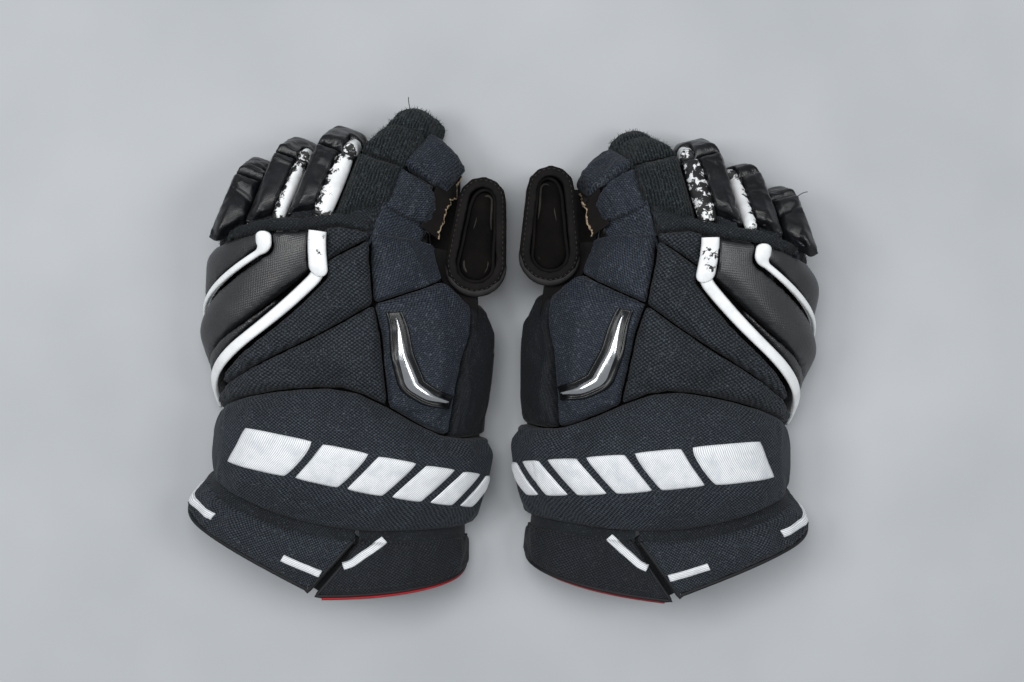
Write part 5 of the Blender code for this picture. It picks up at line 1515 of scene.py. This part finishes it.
class GLOVE_OT_webs(bpy.types.Operator):
    """Bridge the bending seams of fingers, thumb and cuffs with fabric"""

    bl_idname = "glove.webs"
    bl_label = "Bending Seams"

    def execute(self, context):
        for hand in HANDS:
            body = f"{hand.name}_hand"
            tree = tree_of(*[COVERS[f"{hand.name}_{name}"] for name in (*HAND_PADS, "palm")])
            for finger, wide in FINGER_WIDTHS.items():
                node = f"{hand.name}_{finger}_base"
                place = finger_frame(hand, finger, "base")
                run = place.col[1].xyz
                back = -Vector((run.x, run.y, 0.0)).normalized()
                half = wide / 2 - WEB_INSET
                rays = [(place @ Vector((side, *WEB_START)), run, back)
                        for side in np.linspace(-half, half, WEB_RAYS)]
                thing, far, near = web(f"{node}_web", rays, tree_of(COVERS[node]), tree, *WEB_FITS["base"])
                dress(thing, node, "rubbed_knitted_mesh", bend=(body, far, near))
                self.add_joint(hand, finger, half)
            place = finger_frame(hand, "index", "base")
            run = place.col[1].xyz
            back = -Vector((run.x, run.y, 0.0)).normalized()
            slope = math.tan(math.radians(SIDE_PAD_TILT))
            rays = []
            for reach in np.linspace(*SIDE_WEB_SPAN, SIDE_WEB_RAYS):
                side = FINGER_WIDTHS["index"] / 2 + reach
                start = Vector((side, WEB_START[0], WEB_START[1] - reach * slope))
                rays.append((place @ start, run, back))
            node = f"{hand.name}_index_base"
            near_tree = tree_of(COVERS[f"{node}_side"], COVERS[node])
            thing, far, near = web(f"{node}_side_web", rays, near_tree, tree, *WEB_FITS["side"])
            dress(thing, node, "woven_nylon_twill", bend=(body, far, near))
            ring = thumb_ring(*THUMB_WEB_RING, 120)
            rays = []
            for number, point in enumerate(ring):
                heading = ring[(number + 1) % len(ring)] - ring[number - 1]
                out = Vector((heading.y, -heading.x, 0.0)).normalized()
                if out.x < THUMB_WEB_FACING and point.y < THUMB_WEB_END:
                    outward = (hand.place.to_3x3() @ out).normalized()
                    rays.append((hand.place @ point, -outward, outward))
            near_tree = tree_of(COVERS[f"{hand.name}_thumb_shell"])
            thing, far, near = web(f"{hand.name}_thumb_web", rays, near_tree, tree, *WEB_FITS["thumb"])
            dress(thing, f"{hand.name}_thumb", "coated_leather", bend=(body, far, near))
            self.add_crotch(hand)
            self.add_wall(hand)
            for name, ends in (("back_cuff", (-HEM_SHARE, CUFF_SPLIT_FRONT - CUFF_WEB_SHORTER)),
                               ("thumb_cuff", (CUFF_SPLIT_FRONT, HEM_SHARE))):

                def place_cuff(along, across, ends=ends):
                    share = ends[0] + (across + 1.0) / 2 * (ends[1] - ends[0])
                    front = cuff_seam(share) + CUFF_WEB_OVERLAP[0]
                    rear = cuff_seam(share) - CUFF_HINGE_GAP - CUFF_WEB_OVERLAP[1]
                    return hand.lay(share, front + along * (rear - front), CUFF_FOLD_LIFT)

                thing = ribbon(f"{hand.name}_{name}_web", 8, 60, place_cuff, CUFF_WEB_THICK, (0.08, 0.009))
                middle = (ends[0] + ends[1]) / 2
                seam = cuff_seam(middle)
                far = hand.lay(middle, seam + CUFF_BEND_START[0], CUFF_BEND_START[1])
                near = hand.lay(middle, seam - CUFF_HINGE_GAP - CUFF_BEND_END[0], CUFF_BEND_END[1])
                # Painted shade: the cuff webs take the darker rubbed mesh, standing for the shadow under the
                # wrist roll's overhang
                dress(thing, f"{hand.name}_{name}_flap", "rubbed_knitted_mesh", bend=(body, far, near))
        return {"FINISHED"}

    def add_joint(self, hand, finger, half):
        """The leather that joins a finger's two segments below their pads."""
        base, tip = [finger_frame(hand, finger, segment) for segment in ("base", "tip")]
        bodies = [f"{hand.name}_{finger}_{segment}" for segment in ("base", "tip")]
        base_tree, tip_tree = [tree_of(COVERS[body], COVERS[f"{body}_stall"]) for body in bodies]
        upward = (base.col[2].xyz + tip.col[2].xyz).normalized()
        middle = tip.col[3].xyz + upward * JOINT_WEB_RISE[finger]
        rays = [(middle + base.col[0].xyz * side, tip.col[1].xyz, -base.col[1].xyz)
                for side in np.linspace(-half, half, WEB_RAYS)]
        name = f"{hand.name}_{finger}_joint_web"
        thing, far, near = web(name, rays, tip_tree, base_tree, *WEB_FITS["joint"])
        finish = "frayed_knitted_mesh" if finger == "index" else "tanned_leather"
        dress(thing, bodies[1], finish, bend=(bodies[0], far, near))

    def add_crotch(self, hand):
        """The soft leather between the thumb and the index finger."""
        run = CROTCH_RUN[hand.name]

        def place(along, across):
            side = (across + 1.0) / 2
            rounding = max((along - CROTCH_ROUND[0]) / (1.0 - CROTCH_ROUND[0]), 0.0)
            inner = CROTCH_SIDE[0] + CROTCH_ROUND[1] * (1.0 - math.sqrt(1.0 - rounding ** 2))
            x = inner + side * (CROTCH_SIDE[1] - inner)
            y = run[0] + along * (run[1] - run[0])
            fold = noise.noise(Vector((x * 120.0, y * 60.0, 2.0)))
            sag = math.sin(side * math.pi)
            return hand.place @ Vector((x, y, CROTCH_HEIGHT - CROTCH_SAG * sag + CROTCH_FOLD * fold))

        thing = ribbon(f"{hand.name}_thumb_crotch", 24, 18, place, CROTCH_THICK, (0.012, 0.05))
        middle = (run[0] + run[1]) / 2
        start = hand.place @ Vector((CROTCH_SIDE[0] + CROTCH_HOLD, middle, CROTCH_HEIGHT))
        end = hand.place @ Vector((CROTCH_SIDE[1] - CROTCH_HOLD, middle, CROTCH_HEIGHT))
        dress(thing, f"{hand.name}_thumb", "tanned_leather", bend=(f"{hand.name}_hand", start, end))

    def add_wall(self, hand):
        """The leather that closes the hand space below the index finger's side pads."""

        def place(along, across):
            y = WALL_RUN[0] + along * (WALL_RUN[1] - WALL_RUN[0])
            z = WALL_HEIGHT[0] + (across + 1.0) / 2 * (WALL_HEIGHT[1] - WALL_FALL * along - WALL_HEIGHT[0])
            fold = noise.noise(Vector((y * 110.0, z * 50.0, 4.0)))
            return hand.place @ Vector((WALL_SIDE + WALL_FOLD * fold, y, z))

        thing = ribbon(f"{hand.name}_index_wall", 16, 20, place, WALL_THICK, (0.02, 0.026))
        dress(thing, f"{hand.name}_hand", "tanned_leather")


def cuff_seam(across):
    """Back edge of the wrist roll."""
    start, fall, span = ROLL_EDGE
    share = min((across + 1.0) / span, 1.0)
    return start - fall * math.sin(share * math.pi / 2)


def back_hem(across):
    """Free edge of the back cuff flap."""
    start, fall, span, curve = BACK_HEM
    return start - fall * (max(across + 1.0, 0.0) / span) ** curve


def thumb_hem(across):
    """Free edge of the thumb cuff flap."""
    start, rise, curve = THUMB_HEM
    share = max(across - CUFF_SPLIT_BACK, 0.0) / (1.0 - CUFF_SPLIT_BACK)
    return start + rise * share ** curve


class GLOVE_OT_sewn_marks(bpy.types.Operator):
    """Sew the white blocks on the wrist rolls and the white lines on the cuffs"""

    bl_idname = "glove.sewn_marks"
    bl_label = "Sewn Blocks and Lines"

    def execute(self, context):
        for hand in HANDS:
            tree = tree_of(COVERS[f"{hand.name}_wrist_roll"])
            start = BLOCK_START
            for number, wide in enumerate(BLOCK_WIDTHS):

                def place(along, across, start=start, wide=wide, number=number):
                    up = along * 2.0 - 1.0
                    round_side = across * math.sqrt(1.0 - BLOCK_ROUND * up ** 4)
                    round_up = up * math.sqrt(1.0 - BLOCK_ROUND * across ** 4)
                    tall = BLOCK_HALF_HEIGHT - BLOCK_HEIGHT_STEP * number
                    flat = start + (round_side + 1.0) / 2 * wide + round_up * BLOCK_SLANT
                    share = flat / HALF_GIRTH
                    spot = BLOCK_MIDDLE - BLOCK_FALL * share + round_up * tall
                    rise = BLOCK_RISE[0] + BLOCK_RISE[1] * (1.0 - across ** 6) * (1.0 - up ** 6)
                    found = on_cover(hand, tree, share, spot, rise)
                    return found or hand.lay(share, spot, BLOCK_EDGE_LIFT)

                thing = ribbon(f"{hand.name}_block_{number}", 22, 20, place, BLOCK_THICK, (wide / 2, 0.024))
                dress(thing, f"{hand.name}_hand", "satin_stitched_rayon")
                start += wide + BLOCK_GAP
            for name, lines in (("back_cuff", BACK_CUFF_LINES), ("thumb_cuff", THUMB_CUFF_LINES)):
                tree = tree_of(COVERS[f"{hand.name}_{name}"])
                for number, line in enumerate(lines):

                    def where(across, along, share, side, hand=hand, tree=tree):
                        rise = LINE_RISE[0] + LINE_RISE[1] * (1.0 - side ** 4)
                        found = on_cover(hand, tree, across, along, rise)
                        return found or hand.lay(across, along, CUFF_LINE_EDGE_LIFT)

                    thing = strip(f"{hand.name}_{name}_line_{number}", line, lambda along: LINE_WIDTH, where,
                                  40, 8, LINE_THICK)
                    dress(thing, f"{hand.name}_{name}_flap", "satin_stitched_rayon")
        return {"FINISHED"}


class GLOVE_OT_cuff_edges(bpy.types.Operator):
    """Bind the edges of the cuff flaps, and add the red piping"""

    bl_idname = "glove.cuff_edges"
    bl_label = "Cuff Edges"

    def execute(self, context):
        front = cuff_seam(CUFF_SPLIT_FRONT) - CUFF_HINGE_GAP
        inset = CUFF_EDGE_INSET
        outer_ends = (cuff_seam(-HEM_SHARE) - CUFF_HINGE_GAP - inset, back_hem(-HEM_SHARE) + inset)
        thumb_ends = (thumb_hem(HEM_SHARE) + inset, cuff_seam(HEM_SHARE) - CUFF_HINGE_GAP - inset)
        for hand in HANDS:
            trim = inset / HALF_GIRTH
            apart = (inset + CUFF_SPLIT_ROOM) / HALF_GIRTH
            back = [(-HEM_SHARE + trim, along) for along in np.linspace(*outer_ends, 6)]
            back += [(across, back_hem(across) + inset) for across in
                     np.linspace(-HEM_SHARE + 2 * trim, CUFF_SPLIT_BACK - apart, 50)]
            back += [(across - apart, along) for across, along in
                     zip(np.linspace(CUFF_SPLIT_BACK, CUFF_SPLIT_FRONT, 24)[1:],
                         np.linspace(back_hem(CUFF_SPLIT_BACK), front - inset, 24)[1:])]
            thumb = [(across + apart, along) for across, along in
                     zip(np.linspace(CUFF_SPLIT_FRONT, CUFF_SPLIT_BACK, 24),
                         np.linspace(front - inset, thumb_hem(CUFF_SPLIT_BACK) + inset, 24))]
            hem = [(across, thumb_hem(across) + inset) for across in
                   np.linspace(CUFF_SPLIT_BACK + 2 * apart, HEM_SHARE - trim, 50)]
            thumb += hem
            thumb += [(HEM_SHARE - trim, along) for along in np.linspace(*thumb_ends, 8)[1:]]
            split = ((CUFF_SPLIT_FRONT, front), (CUFF_SPLIT_BACK, back_hem(CUFF_SPLIT_BACK) + 2 * inset))

            # Painted shade: a dark strip under the cuff split, standing for the shadow under the overlapping
            # flap
            def lining(across, along, share, side, hand=hand):
                fall = SPLIT_SHADE_STRIP_FALL * (1.0 - side) / 2 * share
                return hand.lay(across, along, SPLIT_SHADE_STRIP_LIFT - fall)

            thing = strip(f"{hand.name}_cuff_split_lining", split, lambda along: SPLIT_SHADE_STRIP_WIDTH, lining,
                          24, 6, SPLIT_SHADE_STRIP_THICK)
            dress(thing, f"{hand.name}_back_cuff_flap", "woven_nylon_binding")
            hems = (("back_cuff", back_hem, (-HEM_STITCH_SHARE, CUFF_SPLIT_BACK - HEM_STITCH_SPLIT[0])),
                    ("thumb_cuff", thumb_hem, (CUFF_SPLIT_BACK + HEM_STITCH_SPLIT[1], HEM_STITCH_SHARE)))
            for name, rule, ends in hems:
                tree = tree_of(COVERS[f"{hand.name}_{name}"])
                points = [on_cover(hand, tree, across, rule(across) + HEM_STITCH_INSET, 0.0001)
                          for across in np.linspace(*ends, 70)]
                points = [point for point in points if point]
                thing = stitches(f"{hand.name}_{name}_hem_stitches", points, *HEM_STITCHES)
                dress(thing, f"{hand.name}_{name}_flap", "spun_polyester_thread")
            for name, outline in (("back_cuff", back), ("thumb_cuff", thumb)):
                points = [hand.lay(across, along, CUFF_EDGE_LIFT) for across, along in outline]
                thing = tube(f"{hand.name}_{name}_binding", points, BINDING_RADIUS)
                dress(thing, f"{hand.name}_{name}_flap", "woven_nylon_binding")
            lift = CUFF_EDGE_LIFT - PIPING_DROP[hand.name]
            points = [hand.lay(across, along - PIPING_OUT, lift) for across, along in hem]
            thing = tube(f"{hand.name}_cuff_piping", points, PIPING_RADIUS)
            dress(thing, f"{hand.name}_thumb_cuff_flap", "woven_red_piping")
        return {"FINISHED"}


class GLOVE_OT_badges(bpy.types.Operator):
    """Set the bright strips in their moulded black frames"""

    bl_idname = "glove.badges"
    bl_label = "Bright Strips"

    def execute(self, context):
        def width(along):
            return float(np.interp(along, BADGE_SHARES, BADGE_WIDTHS))

        frame_path = (BADGE_FRAME_ENDS[0], *BADGE_PATH[1:-1], BADGE_FRAME_ENDS[1])
        for hand in HANDS:
            tree = tree_of(COVERS[f"{hand.name}_thumb_side_pad"])
            line = resampled(BADGE_PATH, 41)[0]
            lifts = [cover_lift(hand, tree, across / HALF_GIRTH, along) or BADGE_LIFT
                     for across, along in line]
            lifts = np.pad(lifts, BADGE_EVEN // 2, "edge")
            lifts = np.convolve(lifts, np.ones(BADGE_EVEN) / BADGE_EVEN, "valid")

            def bright(across, along, share, side, hand=hand, lifts=lifts):
                lift = np.interp(share * (len(lifts) - 1), np.arange(len(lifts)), lifts)
                return hand.lay(across, along, lift + BADGE_CROWN[0] + BADGE_CROWN[1] * (1.0 - side ** 2))

            def moulded(across, along, share, side, hand=hand, tree=tree):
                lip = float(smooth_step((abs(side) - 0.62) / 0.12) * smooth_step((1.0 - abs(side)) / 0.1))
                rise = BADGE_FRAME_RISE[0] + BADGE_FRAME_RISE[1] * lip
                found = on_cover(hand, tree, across, along, rise)
                return found or hand.lay(across, along, BADGE_LIFT)

            thing = strip(f"{hand.name}_trim_badge_strip", BADGE_PATH, width, bright, 60, 14, BADGE_THICK)
            dress(thing, f"{hand.name}_hand", "chrome_plated_abs", f"{hand.name}_trim_badge")
            thing = strip(f"{hand.name}_trim_badge_frame", frame_path,
                          lambda along: BADGE_FRAME_WIDER + width(along), moulded, 70, 24, BADGE_FRAME_THICK)
            dress(thing, f"{hand.name}_hand", "moulded_abs")
        return {"FINISHED"}


def thumb_ring(inset, height, count, lean=0.0, uneven=0.0):
    """Evenly spaced points of the thumb guard's outline, drawn in, leaning outwards and a little uneven."""
    root = Vector(THUMB_ROOT[:2])
    tip = Vector(THUMB_TIP[:2])
    axis = (tip - root).normalized()
    turn = (THUMB_ROOT[2] - THUMB_TIP[2]) / (tip - root).length
    hull = []
    for angle in np.linspace(0.0, 2 * math.pi, 361):
        out = Vector((math.cos(angle), math.sin(angle)))
        centre, radius = (tip, THUMB_TIP[2]) if out.dot(axis) > turn else (root, THUMB_ROOT[2])
        hull.append(centre + out * (radius - inset))
    line = np.array([tuple(point) for point in hull])
    run = np.concatenate(([0.0], np.cumsum(np.linalg.norm(np.diff(line, axis=0), axis=1))))
    steps = np.linspace(0.0, run[-1], count, endpoint=False)
    points = []
    for step in steps:
        point = Vector((np.interp(step, run, line[:, 0]), np.interp(step, run, line[:, 1]), height))
        point += uneven * noise.noise_vector(point * 90.0)
        point.x += lean * (point.y - root.y)
        points.append(point)
    return points


class GLOVE_OT_thumb_trim(bpy.types.Operator):
    """Add the sewn rings and stitches of the thumb guards"""

    bl_idname = "glove.thumb_trim"
    bl_label = "Thumb Trim"

    def execute(self, context):
        for hand in HANDS:
            body = f"{hand.name}_thumb"
            for name, (inset, height, radius, lean, finish) in THUMB_RINGS.items():
                ring = thumb_ring(inset, height, 90, lean, THUMB_RING_UNEVEN)
                points = [hand.place @ point for point in ring]
                dress(tube(f"{body}_{name}", points, radius, True), body, finish)
            ring = thumb_ring(*THUMB_BAND_RING, 120)
            low = [number for number, point in enumerate(ring) if point.y < THUMB_BAND_END]
            first = next(number for number in low if (number - 1) % len(ring) not in low)
            points = [hand.place @ ring[(first + step) % len(ring)] for step in range(len(low))]
            thing = tube(f"{body}_root_band", points, THUMB_BAND_RADIUS, tapered=True)
            dress(thing, body, "pressed_leather")
            points = [hand.place @ point for point in thumb_ring(*THUMB_STITCH_RING, 120)]
            thing = stitches(f"{body}_stitches", points + points[:1], *THUMB_STITCHES)
            dress(thing, body, "spun_polyester_thread")
        return {"FINISHED"}


class GLOVE_OT_fuzz(bpy.types.Operator):
    """Raise loose thread ends on the worn mesh of the index fingers and the knuckle welts"""

    bl_idname = "glove.fuzz"
    bl_label = "Loose Threads"

    def execute(self, context):
        for number, hand in enumerate(HANDS):
            for name, (body, count, size, facing) in FUZZ.items():
                node = f"{hand.name}_{name}"
                thing = fibres(f"{node}_fuzz", COVERS[node], count, size, number * 10 + len(name), facing)
                dress(thing, f"{hand.name}_{body}", "frayed_polyester_thread")
        for node, heading in LOOSE_THREADS.items():
            heading = Vector(heading).normalized()
            points = corners(COVERS[node].data)
            start = Vector(points[int(np.argmax(points @ np.array(heading)))]) - heading * 0.001
            line = [start + heading * step + LOOSE_THREAD_SWAY * noise.noise_vector(heading * step * 150.0)
                    for step in np.linspace(0.0, LOOSE_THREAD, 12)]
            thing = tube(f"{node}_loose_thread", line, LOOSE_THREAD_RADIUS)
            dress(thing, node, "frayed_polyester_thread")
        return {"FINISHED"}


class GLOVE_OT_torn_edges(bpy.types.Operator):
    """Add the torn leather edges beside the index fingers"""

    bl_idname = "glove.torn_edges"
    bl_label = "Torn Leather Edges"

    def execute(self, context):
        tilt = math.radians(SIDE_PAD_TILT)
        for hand in HANDS:
            base = finger_frame(hand, "index", "base")
            tip = finger_frame(hand, "index", "tip")
            bend = (base.inverted() @ tip.col[3].xyz).y
            start = TORN_RUN[0]
            end = bend + TORN_RUN[1]

            def edge(along, across, hand=hand, base=base, tip=tip, bend=bend, start=start, end=end):
                spot = start + along * (end - start)
                share = (across + 1.0) / 2
                ragged = noise.noise(Vector((spot * TORN_RAGGED[0], hand.mirror * 3.0, 0.0)))
                finer = noise.noise(Vector((spot * TORN_FINE[0], 7.0, 0.0)))
                broad = noise.noise(Vector((spot * TORN_BROAD[0], hand.mirror * 5.0, 0.0)))
                wide = TORN_WIDTH + TORN_BROAD[1] * broad + TORN_RAGGED[1] * ragged + TORN_FINE[1] * finer
                reach = SIDE_PAD_REACH - TORN_UNDER + share * wide
                curl = TORN_CURL[1] * noise.noise(Vector((spot * TORN_CURL[0], share * 2.0, 5.0)))
                side = FINGER_WIDTHS["index"] / 2 + reach * math.cos(tilt)
                height = TORN_TOP - reach * math.sin(tilt) - TORN_FALL * share + curl * share
                turned = float(smooth_step((spot - bend) / TORN_BEND + 0.5))
                on_base = base @ Vector((side, spot, height))
                return on_base.lerp(tip @ Vector((side, spot - bend, height)), turned)

            thing = ribbon(f"{hand.name}_index_torn_edge", 80, 10, edge, 0.0010, (1.0, 0.06))
            body = f"{hand.name}_index"
            first = base @ Vector((0.0, bend - TORN_BEND / 2, 0.0))
            last = tip @ Vector((0.0, TORN_BEND / 2, 0.0))
            dress(thing, f"{body}_tip", "torn_suede", bend=(f"{body}_base", first, last))
        return {"FINISHED"}


class GLOVE_OT_stage(bpy.types.Operator):
    """Set the pale floor, the soft light and the camera above"""

    bl_idname = "glove.stage"
    bl_label = "Stage"

    def execute(self, context):
        scene = context.scene
        shape = bmesh.new()
        bmesh.ops.create_grid(shape, x_segments=1, y_segments=1, size=FLOOR_HALF)
        floor = link("floor", shape)
        tree, shader = start_finish("painted_floor", {"Roughness": 0.8, "Specular IOR Level": 0.2})
        place = put(tree, "TexCoord").outputs["Object"]
        cloud = put(tree, "TexNoise", {"Vector": place, "Scale": 6.0, "Detail": 3.0})
        shade = {0: cloud, 1: rgba(scene.glove_colours.floor), 2: rgba(linear("#c2c5c8"))}
        shade = put(tree, "MixRGB", shade)
        tree.links.new(shade.outputs[0], shader.inputs["Base Color"])
        floor.data.materials.append(FINISHES["painted_floor"])
        world = bpy.data.worlds.new("studio")
        world.use_nodes = True
        world.node_tree.nodes["Background"].inputs[0].default_value = SKY_COLOUR
        world.node_tree.nodes["Background"].inputs[1].default_value = SKY_STRENGTH
        scene.world = world
        for name, (where, size, power) in LAMPS.items():
            lamp = bpy.data.lights.new(name, "AREA")
            lamp.size = size
            lamp.energy = power
            thing = bpy.data.objects.new(name, lamp)
            thing.location = where
            thing.rotation_euler = (-Vector(where)).to_track_quat("-Z", "Y").to_euler()
            scene.collection.objects.link(thing)
        camera = bpy.data.cameras.new("above")
        camera.sensor_width = CAMERA_SENSOR
        camera.lens = CAMERA_SENSOR * CAMERA_PLACE[2] / (IMAGE_WIDTH * METRES_PER_PIXEL)
        thing = bpy.data.objects.new("above", camera)
        thing.location = CAMERA_PLACE
        scene.collection.objects.link(thing)
        scene.camera = thing
        scene.view_settings.view_transform = "Standard"
        return {"FINISHED"}


OPERATORS = (GLOVE_OT_finishes, GLOVE_OT_foam_pads, GLOVE_OT_fingers, GLOVE_OT_puff, GLOVE_OT_leather,
             GLOVE_OT_webs, GLOVE_OT_stripes, GLOVE_OT_finger_rolls, GLOVE_OT_sewn_marks, GLOVE_OT_cuff_edges,
             GLOVE_OT_badges, GLOVE_OT_thumb_trim, GLOVE_OT_fuzz, GLOVE_OT_torn_edges, GLOVE_OT_stage)


class GLOVE_PT_dressing(bpy.types.Panel):
    bl_idname = "GLOVE_PT_dressing"
    bl_label = "Hockey Gloves"
    bl_space_type = "VIEW_3D"
    bl_region_type = "UI"
    bl_category = "Gloves"

    def draw(self, context):
        for operator in OPERATORS:
            self.layout.operator(operator.bl_idname)


CLASSES = (GloveSizes, GloveColours, *OPERATORS, GLOVE_PT_dressing)


def register():
    for item in CLASSES:
        bpy.utils.register_class(item)
    bpy.types.Scene.glove_sizes = bpy.props.PointerProperty(type=GloveSizes)
    bpy.types.Scene.glove_colours = bpy.props.PointerProperty(type=GloveColours)


def unregister():
    del bpy.types.Scene.glove_colours
    del bpy.types.Scene.glove_sizes
    for item in reversed(CLASSES):
        bpy.utils.unregister_class(item)


def main():
    register()
    noise.seed_set(NOISE_SEED)
    for operator in OPERATORS:
        group, name = operator.bl_idname.split(".")
        getattr(getattr(bpy.ops, group), name)()


if __name__ == "__main__":
    main()
